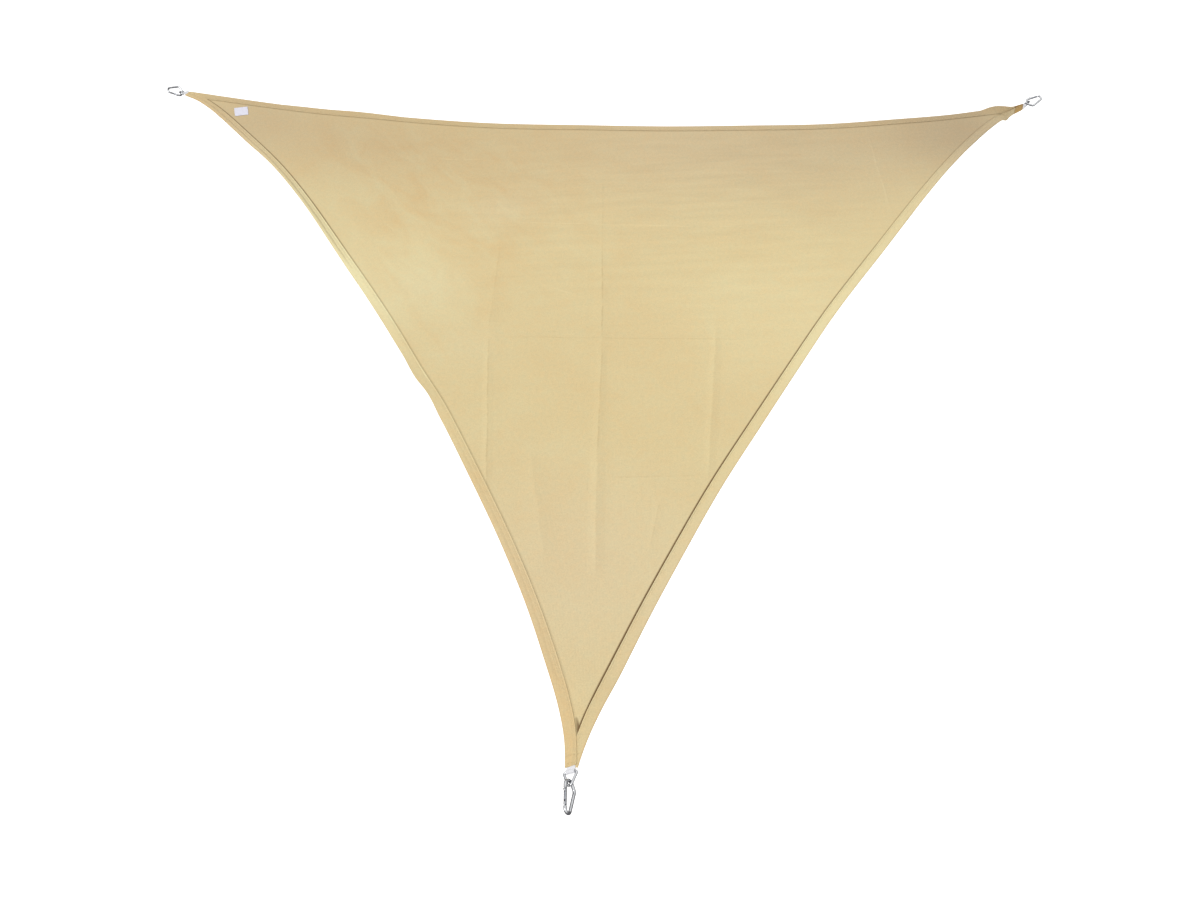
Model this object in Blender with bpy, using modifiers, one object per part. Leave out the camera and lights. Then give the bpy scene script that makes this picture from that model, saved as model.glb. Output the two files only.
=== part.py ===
"""Triangular shade sail, stretched by three snap hooks.

Run with: blender --background --python part.py
Metres and degrees, +Z up.  The sail lies level with its near corner towards -Y,
and its upper face is the one with the turned hems and the label.  The origin is
inside the far end of the near snap hook, where a wall eye or a rope would sit.
"""
import math

import bmesh
import bpy
import numpy as np
from mathutils import Matrix, Vector
from mathutils.geometry import delaunay_2d_cdt

# ---- cloth ------------------------------------------------------------------
SIDE = 3.000              # cloth corner to cloth corner
CENTRE_DIP = 0.040        # how far the stretched cloth hangs at its middle
HEM_WIDTH = 0.030
HEM_STEP = 0.003          # the hem drops to one layer over this width
BODY_THICKNESS = 0.0012
HEM_THICKNESS = 0.0024
CORNER_THICKNESS = 0.0030
CORNER_PATCH = 0.028      # length of the thick sewn end at each corner
MESH_PITCH = 0.066        # spacing of the cloth's points away from its edges
EDGE_PITCH = 0.052        # spacing of its points along an edge

# Each edge of the cloth, in rows of along and inward: the distance from its first
# corner, and how far the edge runs inside the straight line between the corners.
LEFT_EDGE = (  # far left corner to near corner
    (0.054, 0.009), (0.127, 0.036), (0.224, 0.059), (0.348, 0.083),
    (0.557, 0.121), (0.800, 0.145), (1.093, 0.158),
    (1.361, 0.167), (1.660, 0.165), (1.771, 0.161), (1.827, 0.166),
    (1.929, 0.161), (2.166, 0.143), (2.418, 0.119), (2.603, 0.093),
    (2.735, 0.067), (2.857, 0.039), (2.938, 0.011),
)
RIGHT_EDGE = (  # far right corner to near corner
    (0.053, -0.003), (0.126, 0.024), (0.193, 0.041), (0.289, 0.0585),
    (0.466, 0.080), (0.714, 0.097), (1.014, 0.106),
    (1.418, 0.116), (1.654, 0.110), (1.922, 0.101), (2.164, 0.091),
    (2.378, 0.073), (2.571, 0.053), (2.744, 0.030), (2.873, 0.012),
    (2.960, -0.006),
)
FAR_EDGE = (  # far left corner to far right corner
    (0.045, 0.002), (0.100, 0.008), (0.160, 0.018), (0.281, 0.040), (0.400, 0.060),
    (0.520, 0.079), (0.635, 0.088), (0.752, 0.100), (0.983, 0.114),
    (1.383, 0.125), (1.750, 0.133), (2.036, 0.121), (2.292, 0.107),
    (2.521, 0.082), (2.752, 0.055), (2.869, 0.0325), (2.945, 0.023),
)

# Packing creases, as ridges between two points of the sail.
CREASE_COLUMNS = ("x0", "y0", "x1", "y1", "height", "half_width")
CREASES = (
    (-0.306, 1.559, -0.237, 0.811, 0.004, 0.022),
    (0.022, 1.757, 0.037, 0.476, 0.005, 0.022),
    (0.357, 1.348, 0.315, 0.846, 0.004, 0.022),
    (-0.291, 1.327, 0.479, 1.345, 0.003, 0.020),
)
# Broad soft hollows and swells of the cloth.
BILLOW_COLUMNS = ("x", "y", "radius", "height")
BILLOWS = (
    (-0.85, 2.20, 0.36, 0.008), (-0.40, 2.30, 0.34, -0.007),
    (-0.55, 1.70, 0.30, -0.006), (0.30, 2.15, 0.50, 0.006),
    (0.85, 2.25, 0.34, -0.006), (0.05, 0.55, 0.22, -0.005),
)
# Stretches of an edge that curl upwards.
ROLL_COLUMNS = ("edge", "start", "end", "lift")
ROLLS = (
    ("left", 0.44, 1.22, 0.012), ("left", 1.60, 1.95, 0.005),
    ("right", 0.30, 0.80, 0.005), ("far", 0.35, 0.80, 0.004),
)
ROLL_WIDTH = 0.034

# ---- corners ----------------------------------------------------------------
# The stretched corners lie near those of an even triangle.  dx, dy: how far the
# sewn end is from that corner; pull and rise: heading and slope of the ring's
# pull; twist: how far the sewn end is turned, all along hold and then dying away
# until reach; lean: how far the line it turns about leans from the pull;
# ring_turn: how far the ring is turned past the sewn end.
FAR_Y = SIDE * math.sqrt(3) / 2
TRIANGLE = {"near": (0.0, 0.0), "left": (-SIDE / 2, FAR_Y), "right": (SIDE / 2, FAR_Y)}
CORNER_COLUMNS = ("dx", "dy", "pull", "rise", "twist", "hold", "reach", "lean", "ring_turn")
CORNERS = {
    "near": (-0.001, 0.000, -93.0, 0.0, 30.0, 0.0, 0.24, 0.0, 0.0),
    "left": (-0.006, -0.004, 146.0, -8.0, -8.0, 0.0, 0.10, 0.0, 18.0),
    "right": (0.004, -0.013, 44.0, 5.0, 88.0, 0.035, 0.075, -18.0, 14.0),
}
# The sewn end of each corner as points across it and beyond the corner; the near
# one has the hem's tail beside its webbing.
ENDS = {
    "near": ((-0.0160, 0.0050), (-0.0110, 0.0050), (-0.0110, 0.0), (0.0150, 0.0)),
    "left": ((-0.0125, -0.003), (0.0125, 0.0)),
    "right": ((-0.0125, 0.0), (0.0125, 0.0)),
}
# How each hook hangs in its ring: heading and slope from its wide end to its
# narrow end, and its turn about that line.
HOOK_COLUMNS = ("heading", "rise", "roll")
HOOKS = {
    "near": (-88.0, 0.0, 126.0),
    "left": (151.0, -2.0, -60.0),
    "right": (30.0, -1.0, 27.0),
}

# ---- hardware ---------------------------------------------------------------
GAP = 0.0003              # clearance between pieces that touch
WEB_WIDTH = 0.0206
WEB_THICKNESS = 0.0014
WEB_CLEARANCE = 0.0005    # round the bar of the ring
BAR_AT = 0.0112           # centre of the ring's bar, beyond the end of the cloth

RING_WIRE = 0.0055
RING_WIDTH = 0.032        # along the bar, wire centre to wire centre
RING_HEIGHT = 0.029       # bar to tip, wire centre to wire centre
RING_BAR_RADIUS = 0.0035
RING_TIP_RADIUS = 0.006

HOOK_WIRE = 0.007
# The hook's wire runs round these circles, in the hook's own plane: x from the
# gate side towards the spine, y from the wide end towards the narrow end.
CIRCLE_COLUMNS = ("x", "y", "radius")
HOOK_CIRCLES = {
    "top": (0.012, 0.012, 0.012),
    "shoulder": (0.018, 0.019, 0.011),
    "tip": (0.008, 0.061, 0.008),
}
HOOK_SEAT = 0.0140        # the ring's place across the hook's wide end
SEAT_CLEARANCE = 0.0010   # between the ring's and the hook's wires
NOSE_AT = 0.019           # where the nose's round wire ends
HEEL_AT = 0.0575          # where the round wire at the pivot ends
PIVOT_AT = 0.0505
TONGUE_THICKNESS = 0.0030
NOSE_TONGUE = 0.008
GATE_DIAMETER = 0.0064
GATE_START = 0.0196
GATE_END = 0.0545
SLOT_WIDTH = 0.0038
SLOT_ENDS = (0.0280, 0.0445)
PIN_DIAMETER = 0.0026
PIN_LENGTH = 0.0080
NUB_DIAMETER = 0.0020
NUB_LENGTH = 0.0050

LABEL_WIDTH = 0.047
LABEL_HEIGHT = 0.054
LABEL_THICKNESS = 0.0010
LABEL_AT = (-1.286, 2.492)
LABEL_TURN = 17.0

COLORS = {
    "cloth": ((0.72, 0.58, 0.36, 1.0), 0.85, 0.0),
    "webbing": ((0.86, 0.86, 0.88, 1.0), 0.80, 0.0),
    "steel": ((0.72, 0.73, 0.75, 1.0), 0.22, 1.0),
    "label": ((0.85, 0.84, 0.92, 1.0), 0.70, 0.0),
}


# ---- shared helpers ---------------------------------------------------------
def rows(table, columns):
    """The table's rows as dictionaries with the columns' names."""
    return [dict(zip(columns, row)) for row in table]


def smoothstep(t):
    t = min(max(t, 0.0), 1.0)
    return t * t * (3.0 - 2.0 * t)


def material(kind):
    color, roughness, metallic = COLORS[kind]
    found = bpy.data.materials.get(kind)
    if found:
        return found
    made = bpy.data.materials.new(kind)
    made.use_nodes = True
    shader = made.node_tree.nodes["Principled BSDF"]
    shader.inputs["Base Color"].default_value = color
    shader.inputs["Roughness"].default_value = roughness
    shader.inputs["Metallic"].default_value = metallic
    return made


def add_object(name, data, kind, parent, collection):
    made = bpy.data.objects.new(name, data)
    collection.objects.link(made)
    made.parent = parent
    if not data.materials:
        data.materials.append(material(kind))
    return made


def add_empty(name, matrix, parent, collection):
    made = bpy.data.objects.new(name, None)
    collection.objects.link(made)
    made.parent = parent
    made.matrix_local = matrix
    return made


def arc(centre, radius, start, end, steps):
    """Points on an arc in a plane, angles in degrees."""
    angles = np.radians(np.linspace(start, end, steps))
    return [(centre[0] + radius * math.cos(a), centre[1] + radius * math.sin(a)) for a in angles]


def baked(curve_or_object):
    """A welded mesh of an object as the viewport shows it; the object is removed."""
    bpy.context.view_layer.update()
    graph = bpy.context.evaluated_depsgraph_get()
    mesh = bpy.data.meshes.new_from_object(curve_or_object.evaluated_get(graph))
    bpy.data.objects.remove(curve_or_object)
    work = bmesh.new()
    work.from_mesh(mesh)
    bmesh.ops.remove_doubles(work, verts=work.verts, dist=0.00001)
    bmesh.ops.recalc_face_normals(work, faces=work.faces)
    work.to_mesh(mesh)
    work.free()
    return mesh


def wire_mesh(name, points, diameter, cyclic):
    """A round wire through the points, all in one plane."""
    curve = bpy.data.curves.new(name, "CURVE")
    curve.dimensions = "3D"
    curve.bevel_depth = diameter / 2
    curve.bevel_resolution = 2
    curve.use_fill_caps = not cyclic
    spline = curve.splines.new("POLY")
    spline.points.add(len(points) - 1)
    for point, place in zip(spline.points, points):
        point.co = (*place, 1.0)
    spline.use_cyclic_u = cyclic
    holder = bpy.data.objects.new(name, curve)
    bpy.context.scene.collection.objects.link(holder)
    return baked(holder)


def box_mesh(name, boxes):
    """One mesh of separate boxes, each given by its centre and size."""
    work = bmesh.new()
    for centre, size in boxes:
        matrix = Matrix.Translation(centre) @ Matrix.Diagonal((*size, 1.0))
        bmesh.ops.create_cube(work, size=1.0, matrix=matrix)
    mesh = bpy.data.meshes.new(name)
    work.to_mesh(mesh)
    work.free()
    return mesh


def cylinder_mesh(name, centre, axis, diameter, length, segments):
    turn = Vector((0, 0, 1)).rotation_difference(Vector(axis)).to_matrix().to_4x4()
    work = bmesh.new()
    bmesh.ops.create_cone(work, cap_ends=True, segments=segments, radius1=diameter / 2,
                          radius2=diameter / 2, depth=length, matrix=Matrix.Translation(centre) @ turn)
    mesh = bpy.data.meshes.new(name)
    work.to_mesh(mesh)
    work.free()
    return mesh


def combined(mesh, steps):
    """The mesh after Boolean steps, each an operation and another mesh."""
    holder = bpy.data.objects.new(mesh.name, mesh)
    bpy.context.scene.collection.objects.link(holder)
    others = []
    for operation, other in steps:
        tool = bpy.data.objects.new(other.name, other)
        bpy.context.scene.collection.objects.link(tool)
        modifier = holder.modifiers.new(operation, "BOOLEAN")
        modifier.operation = operation
        modifier.object = tool
        others.append(tool)
    result = baked(holder)
    for tool in others:
        bpy.data.objects.remove(tool)
    return result


def shade(mesh, angle):
    mesh.shade_smooth()
    mesh.set_sharp_from_angle(angle=math.radians(angle))


# ---- the cloth's outline ----------------------------------------------------
def smooth_through(points, places):
    """Values at the places on a smooth curve through rows of (place, value)."""
    known = np.array(points)
    x, y = known[:, 0], known[:, 1]
    slopes = np.gradient(y, x)
    index = np.clip(np.searchsorted(x, places) - 1, 0, len(x) - 2)
    span = x[index + 1] - x[index]
    t = (places - x[index]) / span
    return ((2 * t ** 3 - 3 * t ** 2 + 1) * y[index] + (t ** 3 - 2 * t ** 2 + t) * span * slopes[index]
            + (3 * t ** 2 - 2 * t ** 3) * y[index + 1] + (t ** 3 - t ** 2) * span * slopes[index + 1])


def corner_point(name):
    return np.array(TRIANGLE[name])


def pull_frame(heading, rise, origin):
    """A matrix: X level and square to the pull, Y along the pull, Z upwards."""
    across, slope = math.radians(heading), math.radians(rise)
    pull = Vector((math.cos(across) * math.cos(slope), math.sin(across) * math.cos(slope), math.sin(slope)))
    side = pull.cross(Vector((0, 0, 1))).normalized()
    turn = Matrix((side, pull, side.cross(pull))).transposed().to_4x4()
    return Matrix.Translation(origin) @ turn


def corner_frame(name):
    """The corner's matrix: X along the ring's bar, Y along the pull, Z up, untwisted."""
    corner = dict(zip(CORNER_COLUMNS, CORNERS[name]))
    x, y = TRIANGLE[name]
    return pull_frame(corner["pull"], corner["rise"], (x + corner["dx"], y + corner["dy"], 0))


def end_places(name):
    """The points of a corner's sewn end, seen from above."""
    return np.array([(corner_frame(name) @ Vector((*place, 0))).xy for place in ENDS[name]])


def sewn_end(name, first, chord, inward):
    """Where an edge meets the sewn end of a corner, as along and inward."""
    offsets = end_places(name)[[0, -1]] - first
    return min(((offset @ chord, offset @ inward) for offset in offsets), key=lambda end: end[1])


def edge_curve(table, start, end, count):
    """Points on an edge from the start corner to the end corner, evenly spaced."""
    first, last = corner_point(start), corner_point(end)
    chord = (last - first) / np.linalg.norm(last - first)
    inward = np.array([-chord[1], chord[0]])
    middle = np.mean([corner_point(name) for name in CORNERS], axis=0)
    if np.dot(middle - first, inward) < 0:
        inward = -inward
    table = [sewn_end(start, first, chord, inward), *table, sewn_end(end, first, chord, inward)]
    along = np.linspace(table[0][0], table[-1][0], count)
    offset = smooth_through(table, along)
    return first + np.outer(along, chord) + np.outer(offset, inward), inward


def edges():
    """The three edges, each as its points and the direction into the cloth."""
    count = int(SIDE / EDGE_PITCH)
    return {
        "left": edge_curve(LEFT_EDGE, "left", "near", count),
        "right": edge_curve(RIGHT_EDGE, "right", "near", count),
        "far": edge_curve(FAR_EDGE, "left", "right", count),
    }


def cloth_outline(edge_lines):
    """The whole outline: down the left edge, up the right one and back along the far one."""
    left, right, far = (edge_lines[name][0] for name in ("left", "right", "far"))
    parts = [left, right[::-1], far[::-1]]
    outline = []
    for part, name in zip(parts, ("near", "right", "left")):
        between = end_places(name)[1:-1]
        if len(between) and np.linalg.norm(between[0] - part[-1]) > np.linalg.norm(between[-1] - part[-1]):
            between = between[::-1]
        outline += [part, between]
    return np.concatenate(outline)


def distance_to_line(points, line):
    """Distance from each point to a line of points, and how far along it is."""
    starts, spans = line[:-1], line[1:] - line[:-1]
    lengths = np.linalg.norm(spans, axis=1)
    before = np.concatenate([[0.0], np.cumsum(lengths)[:-1]])
    offset = points[:, None, :] - starts[None]
    t = np.clip((offset * spans).sum(2) / lengths ** 2, 0, 1)
    gaps = np.linalg.norm(offset - t[..., None] * spans, axis=2)
    nearest = gaps.argmin(1)
    pick = np.arange(len(points))
    return gaps[pick, nearest], before[nearest] + t[pick, nearest] * lengths[nearest]


def inside(points, outline):
    """Whether each point lies inside the closed outline."""
    x, y = points[:, 0][:, None], points[:, 1][:, None]
    x0, y0 = outline[:, 0], outline[:, 1]
    x1, y1 = np.roll(x0, -1), np.roll(y0, -1)
    crosses = ((y0 > y) != (y1 > y)) & (x < (x1 - x0) * (y - y0) / (y1 - y0 + 1e-12) + x0)
    return crosses.sum(1) % 2 == 1


# ---- the cloth's height -----------------------------------------------------
def crease_height(points):
    total = np.zeros(len(points))
    for crease in rows(CREASES, CREASE_COLUMNS):
        line = np.array([(crease["x0"], crease["y0"]), (crease["x1"], crease["y1"])])
        gap, along = distance_to_line(points, line)
        length = np.linalg.norm(line[1] - line[0])
        across = np.clip(1 - gap / crease["half_width"], 0, 1)
        ends = np.clip(np.minimum(along, length - along) / 0.10, 0, 1)
        total += crease["height"] * across * ends
    return total


def billow_height(points):
    total = np.zeros(len(points))
    for billow in rows(BILLOWS, BILLOW_COLUMNS):
        gap = np.hypot(points[:, 0] - billow["x"], points[:, 1] - billow["y"])
        total += billow["height"] * np.exp(-(gap / billow["radius"]) ** 2)
    return total


def roll_height(points, edge_lines):
    total = np.zeros(len(points))
    for roll in rows(ROLLS, ROLL_COLUMNS):
        gap, along = distance_to_line(points, edge_lines[roll["edge"]][0])
        across = np.clip(1 - gap / ROLL_WIDTH, 0, 1) ** 2
        middle = (roll["start"] + roll["end"]) / 2
        half = (roll["end"] - roll["start"]) / 2
        total += roll["lift"] * across * np.clip(1 - ((along - middle) / half) ** 2, 0, 1)
    return total


def dip_height(points):
    middle = np.mean([corner_point(name) for name in CORNERS], axis=0)
    reach = SIDE / math.sqrt(3)
    gap = np.hypot(points[:, 0] - middle[0], points[:, 1] - middle[1])
    return -CENTRE_DIP * (1 - (gap / reach) ** 2)


def twisted(places):
    """The cloth's points with each corner turned about a line near its pull."""
    result = []
    frames = {name: corner_frame(name) for name in CORNERS}
    for place in places:
        point = Vector(place)
        for name, frame in frames.items():
            corner = dict(zip(CORNER_COLUMNS, CORNERS[name]))
            local = frame.inverted() @ point
            if -local.y < corner["reach"] and local.length < 2 * corner["reach"]:
                share = (-local.y - corner["hold"]) / (corner["reach"] - corner["hold"])
                turn = Matrix.Rotation(math.radians(corner["twist"] * (1 - smoothstep(share))), 4, "Y")
                middle = Vector((math.tan(math.radians(corner["lean"])) * max(-local.y, 0.0), 0, 0))
                point = frame @ (turn @ (local - middle) + middle)
        result.append(point)
    return result


# ---- the cloth --------------------------------------------------------------
def near_a_corner(points, reach):
    found = np.zeros(len(points), bool)
    for name in CORNERS:
        local = [corner_frame(name).inverted() @ Vector((x, y, 0)) for x, y in points]
        found |= np.array([abs(place.y) < reach and abs(place.x) < 2 * reach for place in local])
    return found


def cloth_plan(edge_lines):
    """Points and triangles of the cloth seen from above, from its outline and seams."""
    outline = cloth_outline(edge_lines)
    points = [outline]
    links = [(i, (i + 1) % len(outline)) for i in range(len(outline))]
    for line, inward in edge_lines.values():
        tangent = np.gradient(line, axis=0)
        tangent /= np.linalg.norm(tangent, axis=1)[:, None]
        normal = np.stack([-tangent[:, 1], tangent[:, 0]], 1)
        normal *= np.sign(normal @ inward)[:, None]
        for offset in (HEM_WIDTH - HEM_STEP, HEM_WIDTH):
            seam = line + normal * offset
            gaps = [distance_to_line(seam, other)[0] for other, _ in edge_lines.values()]
            keep = inside(seam, outline) & (np.min(gaps, axis=0) > offset - 0.0005)
            seam = seam[keep]
            start = sum(len(part) for part in points)
            points.append(seam)
            links += [(start + i, start + i + 1) for i in range(len(seam) - 1)]
    for crease in rows(CREASES, CREASE_COLUMNS):
        ends = np.array([(crease["x0"], crease["y0"]), (crease["x1"], crease["y1"])])
        length = np.linalg.norm(ends[1] - ends[0])
        across = np.array([ends[0][1] - ends[1][1], ends[1][0] - ends[0][0]]) / length
        for side in (-1, 0, 1):
            count = int(length / MESH_PITCH) + 2
            line = np.linspace(ends[0], ends[1], count) + across * side * crease["half_width"]
            start = sum(len(part) for part in points)
            points.append(line)
            links += [(start + i, start + i + 1) for i in range(count - 1)]
    fixed = np.concatenate(points)
    grid_x, grid_y = np.meshgrid(np.arange(-SIDE / 2, SIDE / 2, MESH_PITCH), np.arange(0, FAR_Y, MESH_PITCH))
    grid_x[::2] += MESH_PITCH / 2
    grid = np.stack([grid_x.ravel(), grid_y.ravel()], 1)
    gaps = np.min([distance_to_line(grid, line)[0] for line, _ in edge_lines.values()], axis=0)
    grid = grid[inside(grid, outline) & (gaps > HEM_WIDTH + MESH_PITCH / 2)]
    clear = np.array([np.min(np.hypot(*(fixed - place).T)) > MESH_PITCH * 0.45 for place in grid])
    every = np.concatenate([fixed, grid[clear]])
    loop = [list(range(len(outline)))]
    places, _, faces, *_ = delaunay_2d_cdt([Vector(p) for p in every], links, loop, 1, 1e-6)
    return np.array([tuple(p) for p in places]), faces


def cloth_layers(points, edge_lines):
    """Each point's thickness as a share of the sewn corners'."""
    gaps = np.min([distance_to_line(points, line)[0] for line, _ in edge_lines.values()], axis=0)
    hem = gaps < HEM_WIDTH - HEM_STEP / 2
    thickness = np.where(hem, HEM_THICKNESS, BODY_THICKNESS)
    thickness[near_a_corner(points, CORNER_PATCH)] = CORNER_THICKNESS
    return thickness / CORNER_THICKNESS


def build_cloth(parent, collection):
    edge_lines = edges()
    plan, faces = cloth_plan(edge_lines)
    height = dip_height(plan) + billow_height(plan) + crease_height(plan) + roll_height(plan, edge_lines)
    places = twisted([(x, y, z) for (x, y), z in zip(plan, height)])
    mesh = bpy.data.meshes.new("sail_cloth")
    mesh.from_pydata(places, [], faces)
    work = bmesh.new()
    work.from_mesh(mesh)
    bmesh.ops.recalc_face_normals(work, faces=work.faces)
    if sum(face.normal.z for face in work.faces) < 0:
        bmesh.ops.reverse_faces(work, faces=work.faces)
    work.to_mesh(mesh)
    work.free()
    cloth = add_object("sail_cloth", mesh, "cloth", parent, collection)
    layers = cloth.vertex_groups.new(name="layers")
    for index, share in enumerate(cloth_layers(plan, edge_lines)):
        layers.add([index], float(share), "REPLACE")
    shell = cloth.modifiers.new("layers", "SOLIDIFY")
    shell.thickness = CORNER_THICKNESS
    shell.offset = 1.0
    shell.vertex_group = layers.name
    shell.use_quality_normals = True
    return cloth


def build_label(parent, collection):
    """The blank patch lies on the cloth's slope at its place."""
    step = 0.02
    at = np.array([LABEL_AT, (LABEL_AT[0] + step, LABEL_AT[1]), (LABEL_AT[0], LABEL_AT[1] + step)])
    height = dip_height(at) + billow_height(at)
    normal = Vector((-(height[1] - height[0]) / step, -(height[2] - height[0]) / step, 1)).normalized()
    tilt = Vector((0, 0, 1)).rotation_difference(normal).to_matrix().to_4x4()
    turn = Matrix.Rotation(math.radians(LABEL_TURN), 4, "Z")
    lift = BODY_THICKNESS + GAP + LABEL_THICKNESS / 2 + 0.0002
    place = Matrix.Translation((*LABEL_AT, float(height[0]))) @ tilt @ turn @ Matrix.Translation((0, 0, lift))
    mesh = box_mesh("label", [((0, 0, 0), (LABEL_WIDTH, LABEL_HEIGHT, LABEL_THICKNESS))])
    label = add_object("label", mesh, "label", parent, collection)
    label.matrix_local = place
    return label


# ---- ring and webbing -------------------------------------------------------
def ring_half_angle():
    """Half the angle between the ring's sides, from its width, height and tip."""
    half = math.radians(20)
    for _ in range(40):
        apex = RING_TIP_RADIUS / math.sin(half) - RING_TIP_RADIUS
        half = math.atan(RING_WIDTH / 2 / (RING_HEIGHT + apex))
    return half


def ring_mesh():
    """A wire triangle in the XY plane, its bar along X at y = 0 and its tip at +Y."""
    half = ring_half_angle()
    lean = math.degrees(half)
    reach = RING_BAR_RADIUS / math.tan((math.pi / 2 - half) / 2)
    bar_x = RING_WIDTH / 2 - reach
    tip_y = RING_HEIGHT - RING_TIP_RADIUS
    path = arc((bar_x, RING_BAR_RADIUS), RING_BAR_RADIUS, -90, lean, 7)
    path += arc((0, tip_y), RING_TIP_RADIUS, lean, 180 - lean, 11)
    path += arc((-bar_x, RING_BAR_RADIUS), RING_BAR_RADIUS, 180 - lean, 270, 7)
    mesh = wire_mesh("ring", [(x, y, 0) for x, y in path], RING_WIRE, True)
    shade(mesh, 60)
    return mesh


def webbing_mesh():
    """A strap's loop round the bar, with its short tail towards the cloth."""
    inner = RING_WIRE / 2 + WEB_CLEARANCE
    outer = inner + WEB_THICKNESS
    tail = math.degrees(math.asin(WEB_THICKNESS / outer))
    curve = bpy.data.curves.new("webbing", "CURVE")
    curve.dimensions = "2D"
    curve.fill_mode = "BOTH"
    curve.extrude = WEB_WIDTH / 2
    start = -(BAR_AT - 2 * GAP)
    outside = [(start, WEB_THICKNESS)] + arc((0, 0), outer, 180 - tail, -180 + tail, 22)
    outside += [(start, -WEB_THICKNESS)]
    hole = arc((0, 0), inner, 0, 340, 18)
    for path in (outside, hole):
        spline = curve.splines.new("POLY")
        spline.points.add(len(path) - 1)
        for point, place in zip(spline.points, path):
            point.co = (*place, 0, 1)
        spline.use_cyclic_u = True
    holder = bpy.data.objects.new("webbing", curve)
    bpy.context.scene.collection.objects.link(holder)
    mesh = baked(holder)
    # the profile was drawn in XY: its x becomes the pull, its depth the bar
    mesh.transform(Matrix(((0, 0, 1, 0), (1, 0, 0, 0), (0, 1, 0, 0), (0, 0, 0, 1))))
    shade(mesh, 40)
    return mesh


# ---- snap hook --------------------------------------------------------------
# Drawn in its own plane: gate side at x = 0, spine side at +X, wide end at y = 0.
def circle(name):
    return dict(zip(CIRCLE_COLUMNS, HOOK_CIRCLES[name]))


def tangent_angle(first, second):
    """Heading from either centre to where one line touches both circles' outer sides."""
    dx, dy = second["x"] - first["x"], second["y"] - first["y"]
    return math.degrees(math.atan2(dy, dx) - math.acos((first["radius"] - second["radius"]) / math.hypot(dx, dy)))


def hook_path():
    """The wire's centre line: nose, wide end, spine, narrow end and heel."""
    top, shoulder, tip = circle("top"), circle("shoulder"), circle("tip")
    turns = [-180, tangent_angle(top, shoulder), tangent_angle(shoulder, tip), 180]
    path = [(0.0, NOSE_AT + NOSE_TONGUE), (0.0, NOSE_AT)]
    for bend, start, end in zip((top, shoulder, tip), turns, turns[1:]):
        steps = 2 + round(abs(end - start) / 14)
        path += arc((bend["x"], bend["y"]), bend["radius"], start, end, steps)
    path += [(0.0, HEEL_AT), (0.0, PIVOT_AT - 0.004)]
    return path


def hook_body_mesh():
    """The bent wire, its two ends flattened to tongues that the gate straddles."""
    mesh = wire_mesh("hook_body", [(x, y, 0) for x, y in hook_path()], HOOK_WIRE, False)
    side = HOOK_WIRE
    centre_z = TONGUE_THICKNESS / 2 + side / 2
    stretch = HEEL_AT - NOSE_AT
    middle = (HEEL_AT + NOSE_AT) / 2
    cheeks = [((0, middle, z), (2 * side, stretch, side)) for z in (centre_z, -centre_z)]
    hole = cylinder_mesh("hole", (0, PIVOT_AT, 0), (0, 0, 1), PIN_DIAMETER + 2 * GAP, 2 * side, 12)
    nub_x = -(HOOK_WIRE + NUB_DIAMETER) / 2 + 0.0003
    nub = cylinder_mesh("nub", (nub_x, NOSE_AT + 0.004, 0), (0, 0, 1), NUB_DIAMETER, NUB_LENGTH, 12)
    steps = [("DIFFERENCE", box_mesh("cheeks", cheeks)), ("DIFFERENCE", hole), ("UNION", nub)]
    result = combined(mesh, steps)
    shade(result, 40)
    return result


def gate_mesh():
    """A round bar along Y, slotted at both ends; its own origin is on the pivot."""
    centre = (GATE_START + GATE_END) / 2 - PIVOT_AT
    bar = cylinder_mesh("gate", (0, centre, 0), (0, 1, 0), GATE_DIAMETER, GATE_END - GATE_START, 20)
    wide = 2 * GATE_DIAMETER
    ends = ((GATE_START - 0.005, SLOT_ENDS[0]), (SLOT_ENDS[1], GATE_END + 0.005))
    slots = [((0, (a + b) / 2 - PIVOT_AT, 0), (wide, b - a, SLOT_WIDTH)) for a, b in ends]
    hole = cylinder_mesh("hole", (0, 0, 0), (0, 0, 1), PIN_DIAMETER + 2 * GAP, wide, 12)
    result = combined(bar, [("DIFFERENCE", box_mesh("slots", slots)), ("DIFFERENCE", hole)])
    shade(result, 40)
    return result


def pin_mesh():
    mesh = cylinder_mesh("pin", (0, 0, 0), (0, 0, 1), PIN_DIAMETER, PIN_LENGTH, 12)
    shade(mesh, 40)
    return mesh


def seat_at():
    """Distance from the cloth's end to the hook's wire where the ring holds it."""
    half = ring_half_angle()
    apex = RING_TIP_RADIUS / math.sin(half) - RING_TIP_RADIUS
    room = (RING_WIRE / 2 + HOOK_WIRE / 2 + SEAT_CLEARANCE) / math.sin(half)
    return BAR_AT + RING_HEIGHT + apex - room


def hook_mouth():
    """The inside of the hook's narrow end, in the hook's own plane."""
    tip = circle("tip")
    return Vector((tip["x"], tip["y"] + tip["radius"] - HOOK_WIRE / 2, 0))


# ---- assembly ---------------------------------------------------------------
def corner_matrix(name):
    """The corner's frame, turned with its ring, on the middle of the sewn end's thickness."""
    corner = dict(zip(CORNER_COLUMNS, CORNERS[name]))
    twist = Matrix.Rotation(math.radians(corner["twist"]), 4, "Y")
    turn = Matrix.Rotation(math.radians(corner["ring_turn"]), 4, "Y")
    return corner_frame(name) @ twist @ Matrix.Translation((0, 0, CORNER_THICKNESS / 2)) @ turn


def hook_matrix(name):
    """Hangs the hook's own plane, by its wide end, in the tip of the ring."""
    seat = corner_matrix(name) @ Vector((0, seat_at(), 0))
    hook = dict(zip(HOOK_COLUMNS, HOOKS[name]))
    roll = Matrix.Rotation(math.radians(hook["roll"]), 4, "Y")
    return pull_frame(hook["heading"], hook["rise"], seat) @ roll @ Matrix.Translation((-HOOK_SEAT, 0, 0))


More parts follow.
